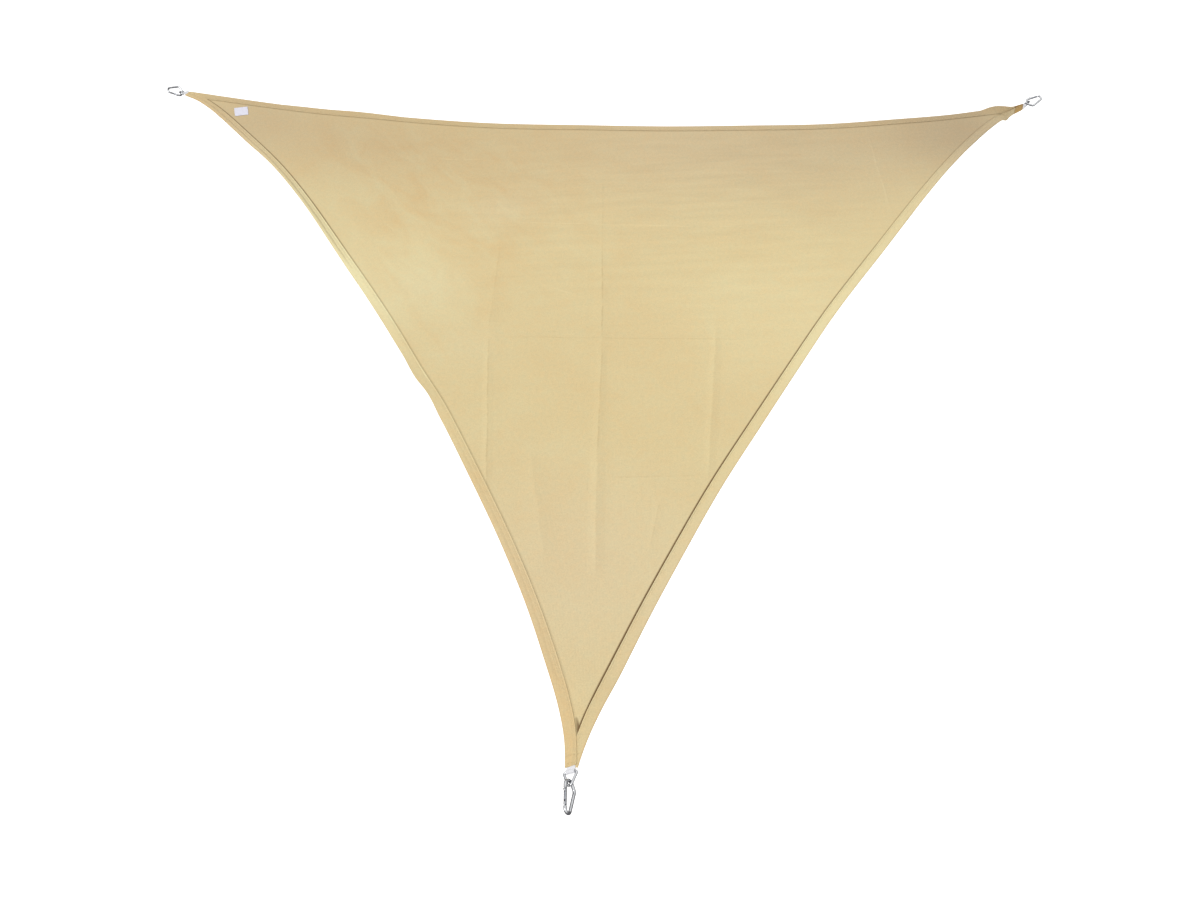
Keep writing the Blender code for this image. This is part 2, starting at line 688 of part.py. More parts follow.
def build():
    for old in list(bpy.data.objects):
        bpy.data.objects.remove(old)
    collection = bpy.data.collections.new("shade_sail")
    bpy.context.scene.collection.children.link(collection)

    hook_point = hook_matrix("near") @ hook_mouth()
    sail = add_empty("sail", Matrix.Translation(-hook_point), None, collection)
    build_cloth(sail, collection)
    build_label(sail, collection)

    ring, webbing = ring_mesh(), webbing_mesh()
    body, gate, pin = hook_body_mesh(), gate_mesh(), pin_mesh()
    for name in CORNERS:
        holder = add_empty("corner_" + name, corner_matrix(name), sail, collection)
        bar = add_empty("bar_" + name, Matrix.Translation((0, BAR_AT, 0)), holder, collection)
        add_object("webbing_" + name, webbing, "webbing", bar, collection)
        add_object("ring_" + name, ring, "steel", bar, collection)
        hook = add_empty("hook_" + name, hook_matrix(name), sail, collection)
        add_object("hook_body_" + name, body, "steel", hook, collection)
        pivot = add_empty("pivot_" + name, Matrix.Translation((0, PIVOT_AT, 0)), hook, collection)
        add_object("hook_gate_" + name, gate, "steel", pivot, collection)
        add_object("hook_pin_" + name, pin, "steel", pivot, collection)


build()
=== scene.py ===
import math

import bmesh
import bpy
import numpy as np
from mathutils import Matrix, Vector


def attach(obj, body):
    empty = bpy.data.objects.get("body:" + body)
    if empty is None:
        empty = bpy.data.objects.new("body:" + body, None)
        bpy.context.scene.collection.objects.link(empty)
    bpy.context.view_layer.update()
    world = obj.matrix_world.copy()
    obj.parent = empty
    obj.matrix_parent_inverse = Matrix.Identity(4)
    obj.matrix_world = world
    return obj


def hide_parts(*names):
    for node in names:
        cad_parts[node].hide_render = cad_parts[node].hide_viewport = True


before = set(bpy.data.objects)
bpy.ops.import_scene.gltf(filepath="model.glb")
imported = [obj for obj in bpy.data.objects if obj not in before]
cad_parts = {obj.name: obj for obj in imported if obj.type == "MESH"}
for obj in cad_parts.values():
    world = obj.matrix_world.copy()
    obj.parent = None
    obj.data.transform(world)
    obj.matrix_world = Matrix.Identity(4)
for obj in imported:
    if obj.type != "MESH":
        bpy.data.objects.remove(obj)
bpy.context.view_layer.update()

# The sail lies level, stretched between three snap hooks. Lengths are in metres and
# angles in degrees, as in the frame; plan places are seen from above, from the
# cloth's near corner.
sail = {
    "nearCorner": (0.00461, 0.09643, -0.00615),  # of the cloth, from inside the near hook
    "side": 3.0,
    "centreDip": 0.040,
    "layer": 0.0012,          # one layer of the knitted cloth
    "pitch": 0.0105,          # spacing of the panel's points
    "rowShare": 0.87,         # distance between rows, as a share of the pitch
    "edgeInset": 0.0018,      # the panel ends this far inside the folded edge
    "creaseFade": 0.10,       # a crease dies away over this length at its ends
}
farY = sail["side"] * math.sqrt(3) / 2
triangle = {"near": (0.0, 0.0), "left": (-sail["side"] / 2, farY), "right": (sail["side"] / 2, farY)}
sailMiddle = np.array([0.0, farY * 2 / 3])

# Each corner: its place off the even triangle, the pull's heading and slope, how far the
# sewn end is turned, all along hold and then dying away until reach, how far the line
# that it turns about leans from the pull, and the ring's turn past the sewn end.
cornerColumns = ("dx", "dy", "pull", "rise", "twist", "hold", "reach", "lean", "ringTurn")
cornerRows = {
    "near": (-0.001, 0.0, -93, 0, 30, 0.0, 0.24, 0, 0),
    "left": (-0.006, -0.004, 146, -8, -8, 0.0, 0.10, 0, 18),
    "right": (0.004, -0.013, 44, 5, 88, 0.035, 0.130, -18, 14),
}
corners = {name: dict(zip(cornerColumns, row)) for name, row in cornerRows.items()}
# The sewn end of each corner, as points across it and beyond the corner.
sewnEnds = {
    "near": ((-0.0160, 0.0050), (-0.0110, 0.0050), (-0.0110, 0.0), (0.0150, 0.0)),
    "left": ((-0.0125, -0.003), (0.0125, 0.0)),
    "right": ((-0.0125, 0.0), (0.0125, 0.0)),
}
# Each edge between two corners: (distance from the first corner, how far it runs
# inside the straight line). They were read off the photo's outline through the camera, and
# those by the right corner were fitted to it.
edgeTables = {
    "left": ("left", "near", (
        (0.054, 0.009), (0.127, 0.036), (0.224, 0.059), (0.348, 0.083), (0.557, 0.121), (0.800, 0.145),
        (1.093, 0.158), (1.361, 0.167), (1.660, 0.165), (1.771, 0.161), (1.827, 0.166), (1.929, 0.161),
        (2.166, 0.143), (2.418, 0.119), (2.603, 0.093), (2.735, 0.067), (2.857, 0.039), (2.938, 0.011))),
    "right": ("right", "near", (
        (0.053, -0.003), (0.126, 0.024), (0.193, 0.041), (0.289, 0.0585), (0.466, 0.080), (0.714, 0.097),
        (1.014, 0.106), (1.418, 0.116), (1.654, 0.110), (1.922, 0.101), (2.164, 0.091), (2.378, 0.073),
        (2.571, 0.053), (2.744, 0.030), (2.873, 0.012), (2.960, -0.006))),
    "far": ("left", "right", (
        (0.045, 0.002), (0.100, 0.008), (0.160, 0.018), (0.281, 0.040), (0.400, 0.060), (0.520, 0.079),
        (0.635, 0.088), (0.752, 0.100), (0.983, 0.114), (1.383, 0.125), (1.750, 0.133), (2.036, 0.121),
        (2.292, 0.107), (2.521, 0.082), (2.752, 0.055), (2.869, 0.0325), (2.945, 0.023))),
}
# Packing creases, as soft ridges: x0, y0, x1, y1, height, half width.
creases = (
    (-0.306, 1.559, -0.237, 0.811, 0.0013, 0.030),
    (0.022, 1.757, 0.037, 0.476, 0.0016, 0.030),
    (0.357, 1.348, 0.315, 0.846, 0.0013, 0.030),
    (-0.291, 1.327, 0.479, 1.345, 0.0004, 0.026),
)
# Broad hollows and swells: x, y, radius, height.
billows = (
    (-0.85, 2.20, 0.36, 0.008), (-0.40, 2.30, 0.34, -0.007), (-0.55, 1.70, 0.30, -0.006),
    (0.30, 2.15, 0.50, 0.006), (0.85, 2.25, 0.34, -0.006), (0.05, 0.55, 0.22, -0.005),
)
# Stretches of an edge that curl upwards: edge, start, end, lift.
rolls = (
    ("left", 0.44, 1.22, 0.012), ("left", 1.60, 1.95, 0.005), ("right", 0.30, 0.80, 0.005),
    ("far", 0.35, 0.80, 0.004),
)
rollWidth = 0.034


# the sail's shape
def smoothstep(t):
    t = np.clip(t, 0, 1)
    return t * t * (3 - 2 * t)


def smoothThrough(table, places):
    known = np.array(table)
    x, y = known[:, 0], known[:, 1]
    slopes = np.gradient(y, x)
    index = np.clip(np.searchsorted(x, places) - 1, 0, len(x) - 2)
    span = x[index + 1] - x[index]
    t = (places - x[index]) / span
    return ((2 * t ** 3 - 3 * t ** 2 + 1) * y[index] + (t ** 3 - 2 * t ** 2 + t) * span * slopes[index]
            + (3 * t ** 2 - 2 * t ** 3) * y[index + 1] + (t ** 3 - t ** 2) * span * slopes[index + 1])


# A frame with X level and square to a pull, Y along the pull and Z upwards.
def pullFrame(heading, rise, origin):
    across, slope = math.radians(heading), math.radians(rise)
    pull = Vector((math.cos(across) * math.cos(slope), math.sin(across) * math.cos(slope), math.sin(slope)))
    side = pull.cross(Vector((0, 0, 1))).normalized()
    return Matrix.Translation(origin) @ Matrix((side, pull, side.cross(pull))).transposed().to_4x4()


def cornerFrame(name):
    corner = corners[name]
    x, y = triangle[name]
    return pullFrame(corner["pull"], corner["rise"], (x + corner["dx"], y + corner["dy"], 0))


def endPlaces(name):
    return np.array([(cornerFrame(name) @ Vector((*place, 0))).xy for place in sewnEnds[name]])


# An edge as evenly spaced plan points, from its first corner to its second.
def edgeLine(name, count):
    start, end, table = edgeTables[name]
    first, last = np.array(triangle[start]), np.array(triangle[end])
    chord = (last - first) / np.linalg.norm(last - first)
    inward = np.array([-chord[1], chord[0]])
    inward *= np.sign((sailMiddle - first) @ inward)
    ends = []
    for corner in (start, end):
        offsets = endPlaces(corner)[[0, -1]] - first
        ends.append(min(((offset @ chord, offset @ inward) for offset in offsets), key=lambda end: end[1]))
    table = [ends[0], *table, ends[1]]
    along = np.linspace(table[0][0], table[-1][0], count)
    return first + np.outer(along, chord) + np.outer(smoothThrough(table, along), inward)


def alongLine(line):
    return np.concatenate([[0.0], np.cumsum(np.linalg.norm(np.diff(line, axis=0), axis=1))])


# The line again with its points evenly spaced.
def resampled(line, count):
    along = alongLine(line)
    at = np.linspace(0, along[-1], count)
    return np.stack([np.interp(at, along, line[:, k]) for k in range(line.shape[1])], axis=1)


def inwardNormals(line):
    tangent = np.gradient(line, axis=0)
    tangent /= np.linalg.norm(tangent, axis=1)[:, None]
    normal = np.stack([-tangent[:, 1], tangent[:, 0]], axis=1)
    return normal * np.sign(np.median(((sailMiddle - line) * normal).sum(1)))


coarseEdges = {name: edgeLine(name, 58) for name in edgeTables}
fineEdges = {name: resampled(edgeLine(name, 900), 601) for name in edgeTables}


# Distance from each point to a line of points, and how far along it is.
def distanceToLine(points, line):
    starts, spans = line[:-1], line[1:] - line[:-1]
    lengths = np.linalg.norm(spans, axis=1)
    before = np.concatenate([[0.0], np.cumsum(lengths)[:-1]])
    offset = points[:, None, :] - starts[None]
    t = np.clip((offset * spans).sum(2) / lengths ** 2, 0, 1)
    gaps = np.linalg.norm(offset - t[..., None] * spans, axis=2)
    nearest = gaps.argmin(1)
    pick = np.arange(len(points))
    return gaps[pick, nearest], before[nearest] + t[pick, nearest] * lengths[nearest]


def edgeGap(points, name):
    return distanceToLine(points, coarseEdges[name])[0]


# The height of the cloth's underside before its corners are turned.
def baseHeight(points):
    reach = sail["side"] / math.sqrt(3)
    middleGap = np.linalg.norm(points - sailMiddle, axis=1)
    height = -sail["centreDip"] * (1 - (middleGap / reach) ** 2)
    for x, y, radius, swell in billows:
        height += swell * np.exp(-(np.hypot(points[:, 0] - x, points[:, 1] - y) / radius) ** 2)
    for x0, y0, x1, y1, ridge, halfWidth in creases:
        gap, along = distanceToLine(points, np.array([(x0, y0), (x1, y1)]))
        length = math.hypot(x1 - x0, y1 - y0)
        fade = np.clip(np.minimum(along, length - along) / sail["creaseFade"], 0, 1)
        height += ridge * smoothstep(1 - gap / halfWidth) * fade
    for name, start, end, lift in rolls:
        gap, along = distanceToLine(points, coarseEdges[name])
        shape = 1 - ((along - (start + end) / 2) / ((end - start) / 2)) ** 2
        height += lift * np.clip(1 - gap / rollWidth, 0, 1) ** 2 * np.clip(shape, 0, 1)
    return height


# Plan points, raised off the underside, on the hung sail.
def hang(plan, lift=0.0):
    points = np.column_stack([plan, baseHeight(plan) + lift])
    for name, corner in corners.items():
        matrix = np.array(cornerFrame(name))
        local = (points - matrix[:3, 3]) @ matrix[:3, :3]
        near = (-local[:, 1] < corner["reach"]) & (np.linalg.norm(local, axis=1) < 2 * corner["reach"])
        share = (-local[:, 1] - corner["hold"]) / (corner["reach"] - corner["hold"])
        angle = np.radians(corner["twist"]) * (1 - smoothstep(share))
        middle = math.tan(math.radians(corner["lean"])) * np.maximum(-local[:, 1], 0)
        turned = local.copy()
        turned[:, 0] = middle + (local[:, 0] - middle) * np.cos(angle) + local[:, 2] * np.sin(angle)
        turned[:, 2] = -(local[:, 0] - middle) * np.sin(angle) + local[:, 2] * np.cos(angle)
        points[near] = (turned @ matrix[:3, :3].T + matrix[:3, 3])[near]
    return points + np.array(sail["nearCorner"])


# mesh helpers
def link(made):
    bpy.context.scene.collection.objects.link(made)
    return made


def meshPiece(name, points, faces, uvs=None, edges=()):
    mesh = bpy.data.meshes.new(name)
    mesh.from_pydata([tuple(point) for point in points], edges, faces)
    for layer, values in (uvs or {}).items():
        uv = mesh.uv_layers.new(name=layer)
        corner = np.zeros(len(mesh.loops), np.int32)
        mesh.loops.foreach_get("vertex_index", corner)
        uv.data.foreach_set("uv", np.asarray(values, np.float32)[corner].ravel())
    mesh.shade_smooth()
    return link(bpy.data.objects.new(name, mesh))


def pointValues(piece, name, values):
    made = piece.data.attributes.get(name) or piece.data.attributes.new(name, "FLOAT", "POINT")
    made.data.foreach_set("value", np.asarray(values, np.float32))


# The piece as its modifiers leave it, as a plain mesh.
def settle(piece):
    graph = bpy.context.evaluated_depsgraph_get()
    mesh = bpy.data.meshes.new_from_object(piece.evaluated_get(graph), preserve_all_data_layers=True,
                                           depsgraph=graph)
    piece.modifiers.clear()
    piece.data = mesh
    return piece


# Faces between rings of points, each ring closed; the first and last are capped.
def tubeFaces(rings, sides):
    faces = []
    for ring in range(rings - 1):
        for side in range(sides):
            a, b = ring * sides + side, ring * sides + (side + 1) % sides
            faces.append((a, b, b + sides, a + sides))
    faces.append(tuple(range(sides))[::-1])
    faces.append(tuple(range((rings - 1) * sides, rings * sides)))
    return faces


def faceOut(piece):
    work = bmesh.new()
    work.from_mesh(piece.data)
    bmesh.ops.recalc_face_normals(work, faces=work.faces)
    work.to_mesh(piece.data)
    work.free()
    return piece


# Materials. Patterns on cloth read its own UV map, in metres of the sail seen from above.
def shaderNodes(name):
    material = bpy.data.materials.new(name)
    material.use_nodes = True
    tree = material.node_tree
    return material, tree, tree.nodes["Principled BSDF"]


def node(tree, kind, inputs=None, **settings):
    made = tree.nodes.new(kind)
    for key, value in settings.items():
        setattr(made, key, value)
    for key, value in (inputs or {}).items():
        if isinstance(value, bpy.types.NodeSocket):
            tree.links.new(value, made.inputs[key])
        else:
            made.inputs[key].default_value = value
    return made


def maths(tree, operation, a, b=0.5):
    return node(tree, "ShaderNodeMath", {0: a, 1: b}, operation=operation).outputs[0]


def gathered(tree, operation, values):
    total = values[0]
    for value in values[1:]:
        total = maths(tree, operation, total, value)
    return total


def plus(tree, *values):
    return gathered(tree, "ADD", values)


def times(tree, *values):
    return gathered(tree, "MULTIPLY", values)


def vectorMaths(tree, operation, a, b, output="Vector"):
    return node(tree, "ShaderNodeVectorMath", {0: a, 1: b}, operation=operation).outputs[output]


def ranged(tree, value, low, high, toLow=0.0, toHigh=1.0):
    return node(tree, "ShaderNodeMapRange", {"Value": value, "From Min": low, "From Max": high,
                                             "To Min": toLow, "To Max": toHigh}).outputs[0]


def blended(tree, factor, a, b, mode="MIX", clamped=True):
    return node(tree, "ShaderNodeMix", {"Factor": factor, 6: a, 7: b}, data_type="RGBA", blend_type=mode,
                clamp_factor=clamped).outputs[2]


def noise(tree, place, scale, detail=2.0, roughness=0.5, distortion=0.0, dimensions="2D"):
    return node(tree, "ShaderNodeTexNoise", {"Vector": place, "Scale": scale, "Detail": detail,
                                             "Roughness": roughness, "Distortion": distortion},
                noise_dimensions=dimensions).outputs["Fac"]


# A place turned by an angle and scaled along and across that direction.
def slanted(tree, place, angle, along, across):
    turned = node(tree, "ShaderNodeVectorRotate", {"Vector": place, "Angle": -math.radians(angle)},
                  rotation_type="Z_AXIS").outputs["Vector"]
    return vectorMaths(tree, "MULTIPLY", turned, (along, across, 1.0))


def centred(tree, value, strength):
    return times(tree, maths(tree, "SUBTRACT", value, 0.5), strength)


def attribute(tree, name):
    return node(tree, "ShaderNodeAttribute", attribute_name=name).outputs["Fac"]


def clothPlace(tree, layer="cloth"):
    return node(tree, "ShaderNodeUVMap", uv_map=layer).outputs["UV"]


def raised(tree, shader, height, strength=1.0, distance=1.0):
    bump = node(tree, "ShaderNodeBump", {"Height": height, "Strength": strength, "Distance": distance})
    tree.links.new(bump.outputs["Normal"], shader.inputs["Normal"])


def setInputs(shader, values):
    for name, value in values.items():
        shader.inputs[name].default_value = value


def dimmed(colour, share):
    return tuple(value * share for value in colour[:3]) + (1.0,)


# Packing folds that show as fine lines: x0, y0, x1, y1, height and half width of the ridge, how much painted
# light and shade its two sides get, and how dark the painted shade of the line itself is (a painted
# highlight where negative).
foldLines = (
    (-0.303, 1.801, -0.296, 1.330, 0.0006, 0.020, 0.010, 0.12),
    (-0.296, 1.345, -0.241, 0.700, 0.0012, 0.016, 0.034, 0.22),
    (0.012, 2.160, 0.022, 1.640, 0.0003, 0.010, 0.004, 0.09),
    (0.021, 1.740, 0.030, 1.300, 0.0004, 0.010, 0.008, 0.24),
    (-0.135, 1.568, -0.030, 1.520, 0.0004, 0.014, 0.000, -0.16),
    (0.031, 1.340, 0.027, 0.860, 0.0010, 0.016, 0.026, 0.22),
    (0.027, 0.920, 0.034, 0.470, 0.0014, 0.022, 0.034, 0.08),
    (0.361, 1.440, 0.305, 0.750, 0.0012, 0.018, 0.036, 0.06),
    (-0.300, 1.336, 0.440, 1.341, 0.0004, 0.008, 0.000, 0.15),
    (0.030, 0.800, 0.290, 0.812, 0.0003, 0.008, 0.000, 0.12),
    (-0.320, 1.896, 0.330, 1.876, 0.0003, 0.008, 0.000, -0.14),
    (0.330, 1.876, 0.920, 1.904, 0.0003, 0.008, 0.000, -0.10),
    (0.934, 2.487, 0.947, 1.951, 0.0004, 0.010, 0.008, -0.14),
    (0.186, 0.735, 0.158, 0.560, 0.0008, 0.016, 0.018, 0.10),
    (-0.148, 0.900, -0.085, 0.520, 0.0008, 0.040, 0.020, 0.00),
    (-0.560, 2.245, -0.350, 2.250, 0.0004, 0.030, 0.000, -0.22),
)
foldLineWidth = 0.0034
foldFade = 0.16  # a fold dies away over this share of its length at each end
foldTurn = 0.003  # the painted light turns to painted shade within this of its line


# One fold's ridge height, the painted light and shade on its two sides and its painted line, as a group used
# once for each fold.
def foldGroup():
    group = bpy.data.node_groups.new("packingFold", "ShaderNodeTree")
    for kind, names in (("NodeSocketVector", ("Place", "Start", "Along", "Across")),
                        ("NodeSocketFloat", ("Wander", "Broken", "Rise", "Half Width", "Painted Side Light", "Line"))):
        for name in names:
            group.interface.new_socket(name, in_out="INPUT", socket_type=kind)
    for name in ("Height", "Tone", "Dark"):
        group.interface.new_socket(name, in_out="OUTPUT", socket_type="NodeSocketFloat")
    given = group.nodes.new("NodeGroupInput").outputs
    offset = vectorMaths(group, "SUBTRACT", given["Place"], given["Start"])
    share = vectorMaths(group, "DOT_PRODUCT", offset, given["Along"], "Value")
    gap = plus(group, vectorMaths(group, "DOT_PRODUCT", offset, given["Across"], "Value"), given["Wander"])
    fade = ranged(group, maths(group, "MINIMUM", share, maths(group, "SUBTRACT", 1.0, share)), 0.0, foldFade)
    wide = maths(group, "ABSOLUTE", gap)
    ridge, line = (maths(group, "MAXIMUM", 0.0,
                         maths(group, "SUBTRACT", 1.0, maths(group, "DIVIDE", wide, width)))
                   for width in (given["Half Width"], foldLineWidth))
    ridge = times(group, ridge, fade)
    side = ranged(group, gap, -foldTurn, foldTurn, 1.0, -1.0)
    out = group.nodes.new("NodeGroupOutput").inputs
    group.links.new(times(group, ridge, given["Rise"]), out["Height"])
    group.links.new(times(group, ridge, side, given["Painted Side Light"]), out["Tone"])
    group.links.new(times(group, line, fade, given["Broken"], given["Line"]), out["Dark"])
    return group


packingFold = foldGroup()

knit = {
    "pale": (0.715, 0.620, 0.352, 1.0),     # one layer, lit through
    "golden": (0.690, 0.525, 0.268, 1.0),   # several layers or a fold: painted as less light coming through
    "paintedShade": (0.300, 0.190, 0.075, 1.0),     # painted shade between the knitted loops, on fold lines and behind rolled folds
    "gap": (0.150, 0.085, 0.030, 1.0),      # painted shade under a hem's free edge
    "tab": (0.80, 0.62, 0.36, 1.0),         # painted shade on the right corner's twisted sewn end
    "tabShadeLine": (0.30, 0.22, 0.14, 1.0),     # painted shade of the line where it starts
    "wale": 0.0032,           # spacing of the knitted chains
    "course": 0.0024,         # spacing of the loops along a chain
    "lean": 1.4,              # how far the loops slant
    "relief": 0.00035,
    "loopShade": 0.16,        # how dark the painted shade between the loops is
    "grain": 0.13,
    "mottle": 0.55,           # how much patches differ between pale and golden
    "streak": 0.13,           # how much level streaks differ in tone
    "crumple": 0.0030,        # height of the crumples where the cloth is slack
    "gapShadow": (0.0018, 0.0048),  # the gap's shadow fades between these distances
    "edgeShadeBand": 0.0035,       # width of the painted shade along a hem's folded edge
    "lipHighlightBand": (0.0265, 0.0290),  # and where the painted highlight on its free edge starts and is full
    "paintedValleyShade": (0.0152, 0.0022, 0.36),  # painted shade behind a rolled fold: where it is, half width, darkness
}
knitFinish = {"Sheen Weight": 0.10, "Sheen Roughness": 0.45, "Specular IOR Level": 0.22}
# Unevenness of the cloth: scale, detail, roughness, distortion.
clothNoises = {
    "speckle": (260.0, 3.0, 0.7, 0.0), "grain": (95.0, 2.0, 0.6, 0.0), "patches": (4.2, 4.0, 0.55, 0.6),
    "blots": (17.0, 4.0, 0.6, 0.3), "flecks": (46.0, 3.0, 0.65, 0.4),
}


# Upright chains with slanting loops between them: 1 on top of the yarn, less between.
def knitRelief(tree, uv):
    parts = node(tree, "ShaderNodeSeparateXYZ", {0: uv})
    chain = maths(tree, "PINGPONG", maths(tree, "DIVIDE", parts.outputs["X"], knit["wale"]), 0.5)
    loop = maths(tree, "PINGPONG", plus(tree, maths(tree, "DIVIDE", parts.outputs["Y"], knit["course"]),
                                        times(tree, chain, knit["lean"])), 0.5)
    chain = maths(tree, "POWER", times(tree, chain, 2.0), 0.6)
    loop = maths(tree, "POWER", times(tree, loop, 2.0), 0.5)
    return times(tree, ranged(tree, chain, 0, 1, 0.45, 1.0), ranged(tree, loop, 0, 1, 0.40, 1.0))


# A hem's painted shade along its folded edge, painted highlight on its free edge, and painted shade in the
# hollow behind a rolled fold.
def hemBands(tree):
    inward = node(tree, "ShaderNodeSeparateXYZ", {0: clothPlace(tree, "strip")}).outputs["Y"]
    edge = ranged(tree, inward, 0.0, knit["edgeShadeBand"], 1.0, 0.0)
    lip = ranged(tree, inward, *knit["lipHighlightBand"])
    middle, halfWidth, darkness = knit["paintedValleyShade"]
    away = maths(tree, "ABSOLUTE", maths(tree, "SUBTRACT", inward, middle))
    paintedValleyShade = times(tree, ranged(tree, away, 0.0, halfWidth, 1.0, 0.0), attribute(tree, "paintedValleyShade"))
    return edge, lip, paintedValleyShade, darkness


# Height, tone with painted light and shade, and darkness with every packing fold added.
def withFolds(tree, uv, broken, height, tone, dark):
    wander = centred(tree, noise(tree, uv, 9.0, 2.0), 0.006)
    for x0, y0, x1, y1, rise, halfWidth, paintedSideLight, line in foldLines:
        length = math.hypot(x1 - x0, y1 - y0)
        alongX, alongY = (x1 - x0) / length, (y1 - y0) / length
        side = -1 if alongY > 0 or abs(alongY) < 0.2 else 1
        fold = node(tree, "ShaderNodeGroup", {}, node_tree=packingFold)
        setInputs(fold, {"Start": (x0, y0, 0), "Along": (alongX / length, alongY / length, 0),
                         "Across": (-alongY * side, alongX * side, 0), "Rise": rise,
                         "Half Width": halfWidth, "Painted Side Light": paintedSideLight, "Line": line})
        for name, value in (("Place", uv), ("Wander", wander), ("Broken", broken)):
            tree.links.new(value, fold.inputs[name])
        height, tone, dark = (plus(tree, value, fold.outputs[name])
                              for value, name in ((height, "Height"), (tone, "Tone"), (dark, "Dark")))
    return height, tone, dark


# The right corner's twisted sewn end gets painted shade, and a darker painted line where it starts.
def withPaintedTabShade(tree, uv, colour):
    corner = corners["right"]
    pull = math.radians(corner["pull"])
    end = (triangle["right"][0] + corner["dx"], triangle["right"][1] + corner["dy"], 0)
    offset = vectorMaths(tree, "SUBTRACT", uv, end)
    along = vectorMaths(tree, "DOT_PRODUCT", offset, (math.cos(pull), math.sin(pull), 0), "Value")
    reach = plus(tree, along, corner["hold"])
    tint = blended(tree, ranged(tree, reach, -0.001, 0.003), (1.0, 1.0, 1.0, 1.0), knit["tab"])
    line = ranged(tree, maths(tree, "ABSOLUTE", reach), 0.0, 0.003, 0.45, 1.0)
    return blended(tree, 1.0, colour, blended(tree, line, knit["tabShadeLine"], tint), "MULTIPLY")


def knitMaterial(name, goldShare, onHem):
    material, tree, shader = shaderNodes(name)
    uv = clothPlace(tree)
    relief = knitRelief(tree, uv)
    speckle, grain, patches, blots, flecks = (noise(tree, uv, *row) for row in clothNoises.values())
    slack = attribute(tree, "slack")
    crumples = noise(tree, slanted(tree, uv, -52, 4.5, 11.0), 1.0, 5.0, 0.62, 0.5)
    streaks = noise(tree, slanted(tree, uv, 5, 4.0, 32.0), 1.0, 3.0, 0.5)
    broken = ranged(tree, noise(tree, uv, 16.0, 3.0, 0.7), 0.38, 0.62, 0.15, 1.0)
    # Where slack, the golden share follows the crumples' relief as painted shade, along with the cloth's own
    # mottle.
    golden = plus(tree, attribute(tree, "gold"), 0.5 + goldShare,
                  centred(tree, patches, knit["mottle"]), centred(tree, blots, knit["mottle"] * 0.7),
                  centred(tree, flecks, 0.70), centred(tree, grain, 0.30),
                  times(tree, slack, centred(tree, crumples, 1.6)))
    tone = plus(tree, attribute(tree, "shade"), 1.0, centred(tree, speckle, knit["grain"] * 2),
                centred(tree, grain, knit["grain"]), centred(tree, blots, 0.04),
                centred(tree, flecks, 0.07),
                times(tree, attribute(tree, "streaks"), centred(tree, streaks, knit["streak"])))
    # Painted shade between the knitted loops, darkest where the relief is low.
    dark = times(tree, maths(tree, "SUBTRACT", 1.0, relief), knit["loopShade"])
    height = plus(tree, times(tree, relief, knit["relief"]), times(tree, slack, crumples, knit["crumple"]),
                  times(tree, blots, 0.0004))
    if onHem:
        edge, lip, paintedValleyShade, darkness = hemBands(tree)
        # Painted shade behind a rolled fold and along the folded edge, and a painted highlight on the free
        # edge.
        dark = plus(tree, dark, times(tree, paintedValleyShade, broken, darkness))
        tone = plus(tree, tone, times(tree, edge, -0.07), times(tree, lip, 0.06))
        golden = plus(tree, golden, times(tree, edge, 0.5), times(tree, lip, -0.3))
    else:
        height, tone, dark = withFolds(tree, uv, broken, height, tone, dark)
    colour = blended(tree, golden, knit["pale"], knit["golden"], clamped=False)
    colour = blended(tree, dark, colour, knit["paintedShade"], clamped=False)
    rosy = attribute(tree, "rosy")
    tint = node(tree, "ShaderNodeCombineColor", {
        0: tone, 1: times(tree, tone, ranged(tree, rosy, 0, 1, 1.0, 0.94)),
        2: times(tree, tone, ranged(tree, rosy, 0, 1, 1.0, 1.10))}).outputs[0]
    colour = withPaintedTabShade(tree, uv, blended(tree, 1.0, colour, tint, "MULTIPLY"))
    if not onHem:
        # Painted shade on the panel in the gap under each hem's free edge.
        away = maths(tree, "ABSOLUTE", attribute(tree, "hemGap"))
        gap = times(tree, ranged(tree, away, *knit["gapShadow"], 1.0, 0.0), attribute(tree, "paintedGapShade"))
        colour = blended(tree, gap, colour, knit["gap"])
    tree.links.new(colour, shader.inputs["Base Color"])
    tree.links.new(ranged(tree, speckle, 0, 1, 0.70, 0.86), shader.inputs["Roughness"])
    raised(tree, shader, height)
    setInputs(shader, knitFinish)
    return material


def steelMaterial(name, bright, roughness):
    material, tree, shader = shaderNodes(name)
    place = node(tree, "ShaderNodeTexCoord").outputs["Object"]
    wear = noise(tree, place, 180.0, 5.0, 0.65, dimensions="3D")
    marks = noise(tree, place, 900.0, 2.0, dimensions="3D")
    colour = blended(tree, ranged(tree, wear, 0.35, 0.70), bright, dimmed(bright, 0.72))
    tree.links.new(colour, shader.inputs["Base Color"])
    tree.links.new(ranged(tree, wear, 0.3, 0.7, *roughness), shader.inputs["Roughness"])
    raised(tree, shader, marks, 0.10, 0.0002)
    setInputs(shader, {"Metallic": 1.0})
    return material


